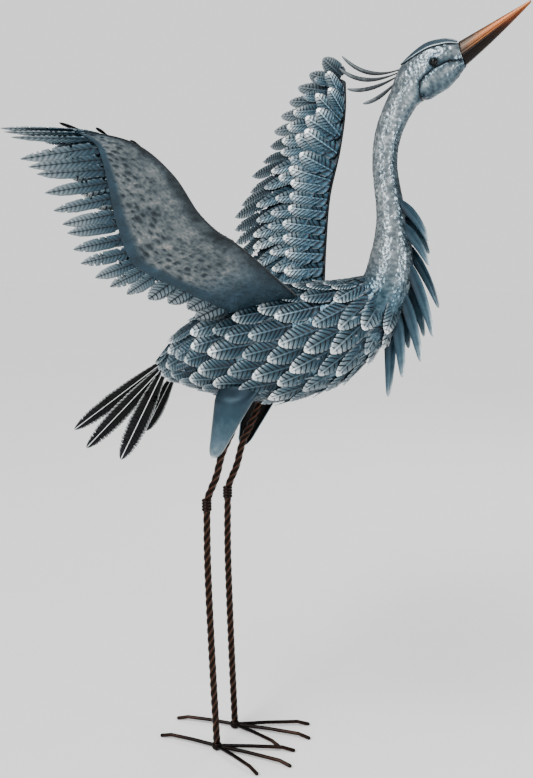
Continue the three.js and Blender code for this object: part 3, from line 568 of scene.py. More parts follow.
# %% The tree that sets feathers on a guide
def feather_tree():
    tree = bpy.data.node_groups.new("set_feathers", "GeometryNodeTree")
    for name, kind in (("Guide", "Geometry"), ("Feathers", "Collection"), ("Finish", "Material"),
                       ("Size change", "Float"), ("Seed", "Int")):
        tree.interface.new_socket(name, in_out="INPUT", socket_type="NodeSocket" + kind)
    tree.interface.new_socket("Coat", in_out="OUTPUT", socket_type="NodeSocketGeometry")
    add = partial(add_node, tree)
    given = add("NodeGroupInput").node.outputs
    along, up, size = (add("GeometryNodeInputNamedAttribute", {"Name": key}, data_type="FLOAT_VECTOR")
                       for key in ("along", "up", "size"))
    turn = add("FunctionNodeAxesToRotation", {0: along, 1: up}, primary_axis="X", secondary_axis="Z")
    feather = add("GeometryNodeCollectionInfo", {"Collection": given["Feathers"], "Separate Children": True,
                                                 "Reset Children": True})
    pick = add("FunctionNodeRandomValue", {4: 0, 5: 99, "Seed": given["Seed"]}, out=2, data_type="INT")
    least = add("ShaderNodeMath", {0: 1.0, 1: given["Size change"]}, operation="SUBTRACT")
    change, tone = (add("FunctionNodeRandomValue", {2: low, 3: 1.0, "Seed": given["Seed"]}, out=1, data_type="FLOAT")
                    for low in (least, 0.0))
    size = add("ShaderNodeVectorMath", {0: size, "Scale": change}, operation="SCALE")
    sown = add("GeometryNodeInstanceOnPoints", {
        "Points": given["Guide"], "Instance": feather, "Pick Instance": True, "Instance Index": pick,
        "Rotation": turn, "Scale": size})
    shaded = add("GeometryNodeStoreNamedAttribute", {"Geometry": sown, "Name": "tone", "Value": tone},
                 data_type="FLOAT", domain="INSTANCE")
    real = add("GeometryNodeRealizeInstances", {"Geometry": shaded})
    done = add("GeometryNodeSetMaterial", {"Geometry": real, "Material": given["Finish"]})
    add("NodeGroupOutput", {0: done})
    return tree


SET_FEATHERS = feather_tree()


def set_feathers(name, rows, dies, finish, slot, *nodes, size_change=0.08, seed=1):
    """Rows of (root, tip, up, half width) in millimetres become one plain mesh of feathers."""
    roots, tips, ups, halves = (np.array(column, float) for column in zip(*rows))
    size = np.stack([np.linalg.norm(tips - roots, axis=1), halves, np.ones(len(rows))], axis=1) * MM
    guide = make_object(make_mesh(name + "_guide", placed(roots), [], {
        "along": unit(tips - roots), "up": unit(ups), "size": size}))
    setter = guide.modifiers.new("set_feathers", "NODES")
    setter.node_group = SET_FEATHERS
    given = {item.name: item.identifier for item in SET_FEATHERS.interface.items_tree if item.in_out == "INPUT"}
    for key, value in (("Feathers", dies), ("Finish", finish), ("Size change", size_change), ("Seed", seed)):
        setter[given[key]] = value
    bpy.context.view_layer.update()
    mesh = bpy.data.meshes.new_from_object(guide.evaluated_get(bpy.context.evaluated_depsgraph_get()))
    mesh.name = name
    guide.modifiers.clear()
    bpy.data.objects.remove(guide)
    mesh.shade_smooth()
    return dress(mesh, finish, slot, *nodes)


# %% [markdown]
# ## Body, neck and head
# The body, neck and head are one shell about a spine. Each section gives the spine's place in the side view, its
# half depth and its half width. Places on the shell are then told by a distance along the spine from the tail, an
# angle from the back, and a height above the skin.

# %% The shell about the spine
BODY_SECTIONS = [
    (-99, 620, 19, 23), (-64, 642, 43, 43), (4, 661, 74, 61), (78, 671, 87, 68), (149, 688, 83, 66),
    (216, 718, 61, 54), (258, 760, 39, 40), (270, 812, 32, 31), (268, 872, 21.5, 22), (257.5, 945, 18.5, 18.5),
    (262, 990, 19.5, 19), (283, 1037, 22, 21), (301, 1060.5, 31.5, 24), (327, 1079.5, 34, 25), (351, 1091, 27, 20),
    (366, 1096, 17, 12)]
FINE = np.linspace(0, 1, 1500)
SPINE_TABLE = smooth_points([(x, 0, z) for x, z, _, _ in BODY_SECTIONS], FINE)
GIRTH_TABLE = smooth_points([(depth, width, 0) for _, _, depth, width in BODY_SECTIONS], FINE)
SPINE_RUN = run_along(SPINE_TABLE)
SPINE_LENGTH = SPINE_RUN[-1]
FORWARD_TABLE = unit(np.gradient(SPINE_TABLE, axis=0))


def on_spine(table, distance):
    return np.stack([np.interp(distance, SPINE_RUN, table[:, k]) for k in range(3)], axis=-1)


def body_point(distance, angle, height=0.0):
    distance, angle, height = np.broadcast_arrays(*map(np.asarray, (distance, angle, height)))
    inside = np.clip(distance, 0, SPINE_LENGTH)
    forward = unit(on_spine(FORWARD_TABLE, inside))
    up = np.stack([-forward[..., 2], 0 * inside, forward[..., 0]], axis=-1)
    depth, width, _ = np.moveaxis(on_spine(GIRTH_TABLE, inside), -1, 0)
    return moved(on_spine(SPINE_TABLE, inside), (forward, distance - inside), (up, (depth + height) * np.cos(angle)),
                 (LEFTWARD, (width + height) * np.sin(angle)))


def body_up(distance, angle):
    step = 0.5
    ahead = body_point(distance + step, angle) - body_point(distance - step, angle)
    aside = body_point(distance, angle + 0.01) - body_point(distance, angle - 0.01)
    return unit(np.cross(ahead, aside))


print("spine", round(SPINE_LENGTH), "mm")

# %% [markdown]
# The neck and head are fine enough to carry the hammer marks as real hollows. The head also has the raised cheek
# plate below its seam, and a shallow socket and a raised ring round each eye. Below the neck the skin is coarser,
# because feathers cover it.

# %% The skin
TORSO_END, TORSO_STEP, NECK_STEP = 395, 5, 1.2
AROUND = 120
NECK_RADIUS, NECK_MARKS_AROUND, NECK_MARK_RADIUS = 20, 18, 4.6
TAIL_ROUNDING = 45
CHEEK_SEAM = [(366, 1086), (360.3, 1085), (351.7, 1084.4), (345.1, 1082.1), (338.5, 1078.3), (329.8, 1073.8),
              (324.8, 1069.8), (317.8, 1065.3), (311.5, 1056.5), (310.5, 1047.5), (310.8, 1038.4), (314, 1032)]
EYE_PLACE, EYE_RADIUS = (330.6, 22.4, 1083.6), 5.6


def away_from_line(x, z, line):
    """Distance from places in the side view to a broken line, and which side of it they lie on."""
    nearest = np.full(np.shape(x), 1e9)
    side = np.zeros(np.shape(x))
    for (ax, az), (bx, bz) in zip(line, line[1:]):
        dx, dz = bx - ax, bz - az
        share = np.clip(((x - ax) * dx + (z - az) * dz) / (dx * dx + dz * dz), 0, 1)
        gap = np.hypot(x - ax - share * dx, z - az - share * dz)
        closer = gap < nearest
        nearest = np.where(closer, gap, nearest)
        side = np.where(closer, np.sign(dx * (z - az) - dz * (x - ax)), side)
    return nearest, side


def skin():
    torso, neck = np.arange(0, TORSO_END, TORSO_STEP), np.arange(TORSO_END, SPINE_LENGTH, NECK_STEP)
    distance = np.concatenate([torso, neck, [SPINE_LENGTH]])[:, None]
    angle = full_turn(AROUND)[None, :]
    bare = body_point(distance, angle)
    x, z = bare[..., 0], bare[..., 2]
    pitch = 2 * math.pi * NECK_RADIUS / NECK_MARKS_AROUND
    turns = np.mod(angle / (2 * math.pi) * NECK_MARKS_AROUND, NECK_MARKS_AROUND) * pitch
    marks = hammer_marks(distance + 0 * angle, turns + 0 * distance, pitch, NECK_MARK_RADIUS, NECK_MARKS_AROUND)
    onset = ease(TORSO_END - 5, TORSO_END + 25, distance)
    head = ease(SPINE_LENGTH - 110, SPINE_LENGTH - 70, distance)
    gap, side = away_from_line(x, z, CHEEK_SEAM)
    seam = bell(gap, 1.3) * head
    plate = np.where(side > 0, ease(0, 7, gap), 0) * head
    socket = np.hypot(x - EYE_PLACE[0], z - EYE_PLACE[2])
    hollow = bell(socket, 9) * head
    ring = bell(socket - 7.2, 1.3) * head
    height = -0.5 * marks * onset * (1 - 0.5 * head) - 1.5 * seam + 2.2 * plate - 0.8 * hollow + 0.9 * ring
    tail_end = np.sqrt(np.clip(1 - (1 - np.clip(distance / TAIL_ROUNDING, 0, 1)) ** 2, 0.02, 1))
    height = height - (1 - tail_end) * on_spine(GIRTH_TABLE, distance)[..., :2].min(axis=-1)
    # The dark ring round the bead is painted shade in its socket. Below the cheek seam, shadow, and under the throat,
    # throat_shade, are painted shade, darker in crest and bluer in blue.
    crest = np.clip(1.05 - 0.9 * marks, 0, 1) - 3 * seam - 2.4 * bell(socket - 6.1, 1.1) * head
    blue = 1 - ease(TORSO_END - 5, TORSO_END + 60, distance) * (1 - 0.2 * head)
    shadow = bell(gap, 4.5) * np.where(side < 0, 1, 0.5) * head
    throat_shade = ease(0.45, 0.9, -np.cos(angle)) * ease(TORSO_END + 10, TORSO_END + 90, distance)
    blue = np.clip(blue + 0.5 * bell(socket, 11) * head + 0.7 * shadow + 0.5 * throat_shade, 0, 1) + 0 * angle
    return tube_mesh("body_skin", body_point(distance, angle, height),
                     {"crest": crest - 0.7 * shadow - 0.9 * throat_shade, "blue": blue})


dress(skin(), neck_steel, "feather_steel", "body")

# %% [markdown]
# ### Body feathers
# The feathers lie like slates, their tips toward the tail. Each tilts a little, so that its tip rests on the ones
# behind it. The tips that the picture shows on the right flank are listed with their distance along the spine and
# their angle from the back in degrees, and both flanks get them. Wherever none is near, a regular pattern fills in.
# The first ones at the neck are rooted under the skin, so that the neck runs out over them. The last ones are
# smaller and close in over the end of the rump, those underneath more than the top ones.

# %% Body feathers
FLANK_TIPS = [
    (361, 148), (346, 114), (344, 166), (338, 32), (334, 58), (325, 145), (317, 95), (317, 169), (296, 114),
    (285, 144), (284, 22), (283, 79), (278, 173), (275, 44), (263, 131), (262, 101), (255, 164), (235, 145),
    (233, 116), (228, 88), (227, 61), (206, 128), (203, 101), (200, 50), (186, 146), (177, 76), (176, 116),
    (166, 159), (163, 94), (146, 132), (137, 74), (135, 111), (116, 64), (116, 150), (110, 87), (101, 127),
    (82, 108), (81, 55), (79, 75), (67, 143), (65, 16), (59, 91), (57, 124), (44, 79), (37, 38), (36, 62), (33, 12),
    (22, 140), (19, 84), (17, 111), (12, 160), (2, 122), (-4, 34), (-2, 94), (-4, 64), (-3, 152), (-13, 7),
    (10, 30)]
COAT = {"first": 340, "last": -10, "pitch": 27, "around": 36, "apart": 24, "length": 78, "half": 17.5, "root": 0.4,
        "tip": 6.4, "sag": 0.07, "last_root": 404, "sunk": 4.5, "closing": 16}


def coat_tips():
    tips = [(distance, side * math.radians(angle)) for side in (-1, 1) for distance, angle in FLANK_TIPS]
    for row, distance in enumerate(np.arange(COAT["first"], COAT["last"], -COAT["pitch"])):
        radius = on_spine(GIRTH_TABLE, distance)[:2].mean()
        for degrees in np.arange(0, 360, COAT["around"]) + COAT["around"] / 2 * (row % 2):
            angle = math.radians(degrees)
            gaps = [math.hypot(distance - d, radius * math.remainder(angle - a, 2 * math.pi)) for d, a in tips]
            if min(gaps) > COAT["apart"]:
                tips.append((distance, angle))
    return tips


def body_feathers():
    rows = []
    for tip_at, angle in coat_tips():
        length = COAT["length"] * (0.72 + 0.08 * ease(-15, 35, tip_at) + 0.2 * ease(20, 120, tip_at))
        length = min(length, COAT["last_root"] - tip_at)
        sag = COAT["sag"] * math.sin(angle)
        under = float(ease(0.5, 1, -math.cos(angle)))
        sunk = COAT["sunk"] * float(ease(COAT["last_root"] - 24, COAT["last_root"], tip_at + length))
        closing = (1 - float(ease(-14, 30, tip_at))) * COAT["closing"] * (0.6 - 0.45 * math.cos(angle))
        root = body_point(tip_at + length, angle - sag, COAT["root"] - sunk)
        tip = body_point(tip_at, angle, COAT["tip"] + 1.6 * under - closing)
        middle = max(tip_at + length / 2, 0)
        half = min(COAT["half"], 0.4 * on_spine(GIRTH_TABLE, middle)[:2].mean())
        rows.append((root, tip, body_up(np.float64(max(middle, 5)), angle - sag / 2), half))
    return rows


set_feathers("body_feathers", body_feathers(), leaf_dies, feather_steel, "feather_steel", "body", seed=3)

# %% [markdown]
# ### Bill
# The bill is folded from two pieces of copper sheet that meet along the mouth line. Each half is six-sided, and
# the folds stay crisp. Both pale from a brown root toward the tip, and the lower half is darker. The numbers are
# the shade at the root and at the tip, and the painted light that the facet over the fold adds.

# %% Bill
BILL = {"tip": (458, 0, 1160.5), "tip_depth": 1.6, "tip_width": 1.2, "split": -0.15, "seam": 0.03, "belly": 1.8,
        "round": 0.9, "gap": 0.35, "rings": 48, "across": (0.06, 0.35, 0.65, 0.94)}


def bill_half(name, low, high, shade_root, shade_tip, facet_light):
    forward = unit(on_spine(FORWARD_TABLE, SPINE_LENGTH))
    up = np.array([-forward[2], 0, forward[0]])
    depth, width, _ = on_spine(GIRTH_TABLE, SPINE_LENGTH)
    start = on_spine(SPINE_TABLE, SPINE_LENGTH) + forward * BILL["gap"]
    fold = (low + high) / 2
    climb = [between(a, b, blend) for a, b in ((low, fold), (fold, high)) for blend in BILL["across"]]
    share = np.array(climb + [high] + climb[::-1] + [low])
    side = np.repeat([1, -1], len(share) // 2)
    along = np.linspace(0, 1, BILL["rings"] + 1)[:, None]
    half_depth, half_width = between(depth, BILL["tip_depth"], along), between(width, BILL["tip_width"], along)
    belly = np.minimum(0, share) * BILL["belly"] * 4 * along * (1 - along)
    rings = moved(between(start, np.array(BILL["tip"]), along)[:, None], (up, share * half_depth + belly),
                  (LEFTWARD, side * half_width * np.sqrt(1 - share * share * BILL["round"])))
    # The facet over the fold takes painted light: darker on the upper half, lighter on the lower.
    crest = between(shade_root, shade_tip, along) + facet_light * (share > fold)
    return tube_mesh(name, rings, {"crest": crest, "streak": share * side + 0 * along})


dress(bill_half("bill_upper", BILL["split"], 1, 0.26, 1, -0.1), bright_copper, "copper", "upper_bill")
dress(bill_half("bill_lower", -1, BILL["split"] - BILL["seam"], 0.1, 0.9, 0.1), dark_copper, "copper", "lower_bill")

# %% [markdown]
# ### Eyes
# Each eye is a glass-smooth bead of black enamel, set in the socket.

# %% Eyes
SIDES = ((1, "left"), (-1, "right"))
AROUND_RING = 32
POLE, EYE_RINGS, EYE_AROUND = 0.04, 20, 28


def level_ring(radius, x, y, z, count=AROUND_RING):
    turn = full_turn(count)
    return np.stack([x + radius * np.cos(turn), y + radius * np.sin(turn), np.full(count, z)], axis=1)


for side, name in SIDES:
    x, y, z = EYE_PLACE
    rings = [level_ring(EYE_RADIUS * math.sin(polar), x, side * y, z + EYE_RADIUS * math.cos(polar), EYE_AROUND)
             for polar in np.linspace(POLE, math.pi - POLE, EYE_RINGS)]
    dress(tube_mesh(name + "_eye_bead", rings), eye_enamel, "eye_enamel", name + "_eye")

# %% [markdown]
# ### Crest cap and plumes
# A curved cap of sheet lies over the crown like a swept-back fringe, and four slender plumes come out from under
# its rear edge. Each plume swells and tapers along a bow, with a soft ridge down its middle.

# %% Crest cap and plumes
CAP = {"back": 74, "front": 1.5, "thickness": 1.9, "under": 0.2}
CAP_SPREAD = [(0, 0.08), (0.06, 0.52), (0.22, 0.7), (0.45, 0.8), (0.7, 0.83), (1, 0.8)]
CREST_PLUMES = [
    [(278, 3, 1080), (229, 8, 1078), (187, 12, 1104)], [(278, -4, 1075), (229, -7, 1066), (189, -10, 1084)],
    [(279, 6, 1074), (233, 9, 1056), (195, 13, 1057)], [(280, -5, 1068), (251, -8, 1042), (226, -12, 1032)]]
CREST = {"high": 3.2, "wide": 1.9, "least": 0.32, "rings": 36, "around": 12}


def crest_cap():
    along, across = grid(60, 29)
    distance = SPINE_LENGTH - between(CAP["back"], CAP["front"], along)
    spread = across * np.interp(along, *zip(*CAP_SPREAD))
    lip = 0.7 * ease(0.84, 1, np.abs(across))
    upper = body_point(distance, spread, CAP["thickness"] + 0.9 * bell(across, 0.12) + lip)
    lower = body_point(distance, spread, CAP["under"] + 0.6 * lip)
    # The lip and the middle of the cap are painted light as highlight, and its underside is painted black as the
    # shadow beneath the lip.
    crest = 0.45 + 0.15 * along + 0.5 * ease(0.86, 0.98, np.abs(across)) + 0.25 * bell(across, 0.1)
    return sheet_mesh("crown_cap", upper, lower, {"crest": crest}, {"crest": 0 * crest})


def bowed_plume(name, *stations):
    root, middle, tip = map(np.array, stations)
    pull = 2 * middle - (root + tip) / 2
    t, turn = np.linspace(0, 1, CREST["rings"] + 1)[:, None], full_turn(CREST["around"])
    ridge = np.abs(np.sin(turn))
    centre = (1 - t) ** 2 * root + 2 * t * (1 - t) * pull + t * t * tip
    tangent = 2 * (1 - t) * (pull - root) + 2 * t * (tip - pull)
    rise = unit(np.cross(tangent, LEFTWARD))
    swell = between(CREST["least"], 1, ease(0, 0.55, t)) * np.sqrt(np.maximum(1 - t ** 6, 0.02))
    rings = moved(centre[:, None], (rise[:, None], CREST["high"] * swell * np.cos(turn)),
                  (LEFTWARD, CREST["wide"] * swell * np.sin(turn) * (1 + 0.22 * ridge)))
    return tube_mesh(name, rings, {"crest": 0.25 + 0.5 * t + 0.3 * ridge})


dress(crest_cap(), painted_sheet, "feather_steel", "crest_cap")
for number, line in enumerate(CREST_PLUMES, 1):
    dress(bowed_plume(f"nape_plume_{number}", *line), plume_steel, "dark_steel", f"crest_plume_{number}")

# %% [markdown]
# ### Breast plumes
# Ten long plumes hang down the front of the neck. Each is a plain lance-shaped piece of sheet, folded along its
# middle, teal at the root and paler toward the point. Each line gives the side view of a root and a tip.

# %% Breast plumes
BREAST_PLUMES = [
    (286, 890, 326, 835), (286, 874, 325, 816), (290, 858, 328, 800), (298, 828, 341, 737), (304, 801, 336, 696),
    (301, 776, 320, 694), (296, 760, 319, 658), (290, 749, 297, 675), (286, 739, 292, 633), (278, 707, 267, 600)]
BREAST = {"half": (7.6, 9.8), "rib": 2.6, "thickness": 1.5, "sunk": 10, "across": 9, "root_across": 7,
          "bow": (5.5, 1.5), "faces": 0.25}
LANCE = [(0, 0.55), (0.15, 0.85), (0.32, 1), (0.55, 0.86), (0.8, 0.6), (0.93, 0.4), (0.98, 0.25), (1, 0.08)]


def feather_frame(root, tip, normal):
    root, run, normal = np.array(root, float), np.array(tip, float) - np.array(root, float), np.array(normal, float)
    up = unit(normal - run * normal.dot(run) / run.dot(run))
    return root, run, unit(np.cross(up, run)), up


def breast_plume(name, index, root_x, root_z, tip_x, tip_z):
    side = -1 if index % 2 == 0 else 1
    root, run, across, up = feather_frame(
        (root_x - BREAST["sunk"], side * BREAST["root_across"], root_z + BREAST["sunk"] / 2),
        (tip_x, side * BREAST["across"], tip_z), (BREAST["faces"], side, 0.1))
    v, w = grid(31, 15)
    share = np.interp(v, *zip(*LANCE))
    half, bow = (first + (last - first) * index / 9 for first, last in (BREAST["half"], BREAST["bow"]))
    fold = BREAST["rib"] * (1 - np.abs(w) ** 1.4) * np.clip(share * 1.3, 0, 1)
    outward = unit([-run[2], 0, run[0]])
    upper = moved(root, (run, v), (across, w * (share * half)), (outward, bow * 4 * v * (1 - v)), (up, fold))
    lit = ease(0, 1, -side * w) - 0.6 * ease(0, 1, side * w)
    return sheet_mesh(name, upper, upper - up * BREAST["thickness"],
                      {"crest": 0.14 + 0.25 * v + 0.55 * v ** 3 + 0.28 * lit})


for number, line in enumerate(BREAST_PLUMES, 1):
    dress(breast_plume(f"neck_plume_{number}", number - 1, *line), painted_sheet, "feather_steel",
          f"breast_plume_{number}")

# %% [markdown]
# ### Tail
# Four nearly black quills fan out under the rump, with deep slits between their barbs.

# %% Tail
TAIL_FEATHERS = [
    ((-80, 7, 657), (-285, 16, 510), 29), ((-83, -2, 651), (-247, -10, 486), 31),
    ((-92, -10, 642), (-172, -30, 476), 36), ((-88, 12, 625), (-158, 34, 513), 27)]
TAIL_FACES = (0.15, -1, 0.25)
for number, (root, tip, width) in enumerate(TAIL_FEATHERS, 1):
    up = feather_frame(root, tip, TAIL_FACES)[3]
    set_feathers(f"tail_quill_{number}", [(root, tip, up, width / 2)], quill_dies, dark_steel, "dark_steel",
                 f"tail_feather_{number}", size_change=0, seed=number)

# %% [markdown]
# ## Wings
# Each wing is a curved sheet between its leading edge and the line of its feather tips. A place on it is told by
# a share along the wing, a share back from the leading edge, and a height toward the feathered side. Each blade
# has its root's share along, its tip's share along and its tip's share back.

# %% The wing's surface
RIGHT_WING = {
    "name": "right", "dorsal": -1, "twist": -0.7,
    "lead": [(139, -48, 753), (73, -127, 832), (56, -150, 847), (41, -180, 871.5), (24, -232, 925), (-7, -282, 963),
             (-76, -345, 980)],
    "tips": [(-7, -58, 711), (-86, -160, 754), (-116, -205, 779), (-124, -262, 840), (-121, -322, 895),
             (-121, -375, 936), (-115, -420, 974)],
    "blades": [
        (0.026, 0.016, 1.02), (0.063, 0.052, 0.92), (0.105, 0.089, 0.93), (0.142, 0.125, 0.96), (0.19, 0.172, 0.99),
        (0.254, 0.254, 0.98), (0.32, 0.336, 0.98), (0.38, 0.403, 1), (0.44, 0.453, 1), (0.5, 0.511, 0.98),
        (0.546, 0.546, 0.98), (0.603, 0.601, 0.99), (0.66, 0.672, 0.98), (0.715, 0.758, 0.94), (0.763, 0.797, 0.96),
        (0.825, 0.839, 0.98), (0.868, 0.95, 0.93), (0.912, 0.981, 0.97), (0.955, 1, 0.99)]}
LEFT_WING = {
    "name": "left", "dorsal": 1, "twist": 0,
    "lead": [(152, 46, 762), (141, 92, 834), (133, 138, 906), (136, 183, 981), (134, 220, 1050), (121, 262, 1118)],
    "tips": [(8, 60, 714), (-43, 160, 836), (-39, 203, 906), (-20, 252, 989), (0, 288, 1062), (60, 340, 1159)],
    "blades": [
        (0.03, 0.02, 0.97), (0.085, 0.075, 0.97), (0.135, 0.13, 0.97), (0.184, 0.18, 0.97), (0.238, 0.23, 1),
        (0.296, 0.293, 1.04), (0.356, 0.353, 1), (0.416, 0.412, 0.94), (0.48, 0.483, 1.01), (0.542, 0.543, 0.94),
        (0.608, 0.61, 0.93), (0.68, 0.685, 0.945), (0.75, 0.76, 0.93), (0.812, 0.823, 0.92), (0.866, 0.879, 0.95),
        (0.916, 0.93, 0.92), (0.965, 0.99, 0.84)]}
WINGS = (RIGHT_WING, LEFT_WING)
CAMBER = 5
PANEL_SHARE, TIP_SHARE = 0.66, 0.04


def wing_up(wing, along):
    step = 1e-3
    chord = smooth_line(wing["tips"], along) - smooth_line(wing["lead"], along)
    span = sum(smooth_line(wing[line], along + step) - smooth_line(wing[line], along - step)
               for line in ("lead", "tips"))
    return unit(np.cross(span, chord)) * wing["dorsal"]


def wing_point(wing, along, back, height=0.0):
    lead, tips = smooth_line(wing["lead"], along), smooth_line(wing["tips"], along)
    return between(lead, tips, back) + wing_up(wing, along) * (height + CAMBER * 4 * back * (1 - back))


def panel_reach(along):
    return TIP_SHARE + PANEL_SHARE * (1 - along ** 3)


# %% [markdown]
# ### Hammered panels
# The panel is one sheet with a rolled leading edge. Its hammer marks are real hollows, deepest in the rear half and
# fading toward the edges, and one rivet dimple sits near the shoulder. The paint is bluer toward the rear edge, the
# root and the tip.

# %% Hammered panels
PANEL = {"low": -1.6, "high": 0.7, "end": 0.95, "columns": 260, "rows": 96, "pitch": 13, "radius": 5.6,
         "narrow": 1.2, "small": 0.6}
RIVET = {"along": 0.111, "back": 0.19, "radius": 3.4}


def wing_panel(wing):
    along = np.linspace(0, PANEL["end"], PANEL["columns"] + 1)
    lead, tips = smooth_points(wing["lead"], along), smooth_points(wing["tips"], along)
    up = np.array([wing_up(wing, a) for a in along])[:, None]
    back = np.linspace(0, 1, PANEL["rows"] + 1)[None, :] * panel_reach(along)[:, None]
    base = moved(lead[:, None], ((tips - lead)[:, None], back), (up, CAMBER * 4 * back * (1 - back)))
    chord = np.linalg.norm(tips - lead, axis=1)
    s, t = run_along(lead)[:, None] + 0 * back, chord[:, None] * back
    share = t / (t[:, -1:] + 1e-6)
    big = hammer_marks(s, PANEL["narrow"] * t, PANEL["pitch"], PANEL["radius"])
    big = big * (0.25 + 0.75 * ease(0.25, 0.6, share))
    small = hammer_marks(s + 5, 1.6 * t + 3, PANEL["pitch"] * PANEL["small"], PANEL["radius"] * PANEL["small"])
    field = ease(0.06, 0.22, share) * (1 - ease(0.8, 0.97, share)) * ease(0.0, 0.12, along)[:, None]
    rivet_s, rivet_t = (np.interp(RIVET["along"], along, values) for values in (s[:, 0], chord))
    around = np.hypot(s - rivet_s, t - rivet_t * RIVET["back"])
    rivet = bell(around - RIVET["radius"], 1.0) - 0.8 * bell(around, 2.2)
    depth = (1.5 * big + 0.6 * small) * field - 0.9 * rivet
    outer = moved(base, (up, PANEL["low"] + depth - 1.1 * bell(t, 2.2)))
    inner = moved(base, (up, PANEL["high"] + np.minimum(depth, 0.5) * 0.6))
    # The marks are painted darker, partly paint left in them and partly painted shade; the rivet dimple gets a painted
    # highlight ring round a darker middle; the sheet is darker toward its edges and most toward its leading edge.
    crest = np.clip(0.95 - 0.42 * big * field - 0.16 * small * field + 0.15 * rivet, 0, 1) * (0.72 + 0.28 * field)
    crest = crest - 0.2 * (1 - ease(0.03, 0.34, share))
    blue = np.clip(0.95 * ease(0.8, 0.96, share) + 0.75 * (1 - ease(0.02, 0.16, along))[:, None]
                   + 0.5 * ease(0.75, 0.95, along)[:, None], 0, 1)
    rim = bell(t, 2.4 + 4 * ease(0.78, 0.93, along)[:, None])
    return sheet_mesh(wing["name"] + "_wing_sheet", outer, inner, {"crest": crest, "blue": blue, "rim": rim},
                      {"crest": 0.5 + 0 * crest, "blue": 0.8 + 0 * blue})


for wing in WINGS:
    dress(wing_panel(wing), hammered_steel, "hammered_steel", wing["name"] + "_wing_panel")

# %% [markdown]
# ### Long blades
# The blades stand out from under the panel's rear edge, each with a midrib and barbs, and a few deep notches. Near
# the body, and near the tip of the left wing, they are broad leaves instead. Toward the right wing's tip they turn
# edge-on, like the slats of a blind. Three small dark thorns stand out of that wing's leading edge near its tip.

# %% Long blades
BLADE = {"low": 3.6, "lap": 0.05, "root_lap": 0.14, "twist": (0.82, 0.89), "slim": 0.7}
THORNS = [((-56, -327.5, 976), (-85.6, -335.6, 986.4)), ((-32, -307, 971.6), (-44.8, -314.7, 980.7)),
          ((-1, -275, 958.6), (-14.9, -278.4, 966.9))]
THORN_HALF = 2.4
LEANS = {
    "blades": [(0, 0.25), (0.4, 0.25), (0.5, 0.1), (0.6, 0.1), (0.7, 0.04), (1, -0.04)],
    "back": [(0, 0.2), (0.4, 0.2), (0.6, 0.05), (1, 0)],
    "middle": [(0, 0.1), (0.4, 0.08), (0.55, -0.09), (0.7, -0.17), (0.85, -0.26), (1, -0.1)],
    "front": [(0, 0), (0.44, -0.02), (0.56, -0.15), (0.68, -0.22), (0.78, -0.34), (0.88, -0.42), (1, -0.3)]}


def lean(row, along):
    """How far the root lies toward the wing's tip, as a share along the wing for each share back."""
    return float(np.interp(along, *zip(*LEANS[row])))


def wing_blades(wing, first, last, low, high):
    """The blades from first to last, whose half widths go from low to high."""
    rows = []
    for root_along, tip_along, tip_back in wing["blades"][first:last]:
        reach = panel_reach(root_along)
        if wing is LEFT_WING:
            root_along = tip_along + lean("blades", tip_along) * (tip_back - reach)
        lap = BLADE["root_lap" if last <= 4 else "lap"]
        root = wing_point(wing, root_along, max(reach - lap, 0.0), BLADE["low"])
        tip = wing_point(wing, tip_along, tip_back, BLADE["low"])
        up = wing_up(wing, (root_along + tip_along) / 2)
        edge_on = float(ease(*BLADE["twist"], root_along))
        twist = wing["twist"] * edge_on
        up = up * math.cos(twist) + np.cross(unit(tip - root), up) * math.sin(twist)
        half = between(low, high, (len(rows) + 0.5) / (last - first))
        rows.append((root, tip, up, half * (1 - BLADE["slim"] * abs(wing["twist"]) * edge_on)))
    return rows


for name, rows, dies in (
        ("right_wing_blades", wing_blades(RIGHT_WING, 4, 19, 12.5, 8.6), blade_dies),
        ("right_wing_root_blades", wing_blades(RIGHT_WING, 0, 4, 21, 17), leaf_dies),
        ("left_wing_blades", wing_blades(LEFT_WING, 0, 11, 14, 13.5), blade_dies),
        ("left_wing_tip_blades", wing_blades(LEFT_WING, 11, 17, 15, 15.5), leaf_dies)):
    set_feathers(name, rows, dies, blade_steel, "feather_steel", name.split("_")[0] + "_wing_primaries",
                 size_change=0, seed=21)
thorns = [(root, tip, wing_up(RIGHT_WING, 0.9), THORN_HALF) for root, tip in THORNS]
set_feathers("right_wing_thorns", thorns, quill_dies, dark_steel, "feather_steel", "right_wing_primaries",
             size_change=0, seed=2)

# %% [markdown]
# ### Coverts
# Three rows of leaf feathers lie over the inner side of each wing: long ones rooted on the leading edge, and two
# rows of shorter ones behind, which are set first. Toward the wing's tip they lean more and more along it, like
# fingers spreading, and get slimmer. Each is turned a little about its own rib, so that its neighbour tucks under
# one side.

# %% Coverts
COVERT_ROWS = {
    "back": {"length": 0.46, "heights": (5.2, 7.6), "half": 17, "tips": [
        (0, 0.8), (0.05, 0.79), (0.1, 0.76), (0.158, 0.743), (0.196, 0.757), (0.26, 0.756), (0.334, 0.802),
        (0.417, 0.77), (0.491, 0.74), (0.575, 0.714), (0.63, 0.75), (0.7, 0.74), (0.77, 0.72), (0.84, 0.7),
        (0.91, 0.66)]},
    "middle": {"length": 0.44, "heights": (5.4, 9), "half": 17, "tips": [
        (0.03, 0.57), (0.085, 0.551), (0.139, 0.561), (0.182, 0.582), (0.235, 0.606), (0.3, 0.593), (0.369, 0.58),
        (0.464, 0.612), (0.547, 0.558), (0.65, 0.559), (0.743, 0.49), (0.849, 0.455), (0.94, 0.45)]},
    "front": {"length": 0.52, "heights": (3.6, 10.4), "half": 18, "tips": [
        (0.015, 0.4), (0.074, 0.407), (0.135, 0.387), (0.191, 0.415), (0.253, 0.433), (0.324, 0.392),
        (0.382, 0.407), (0.44, 0.426), (0.5, 0.5), (0.564, 0.433), (0.675, 0.443), (0.782, 0.349), (0.88, 0.24),
        (0.95, 0.36)]}}
COVERT = {"roll": 0.1, "slim": 0.4, "margin": 0.6, "press": 0.96}


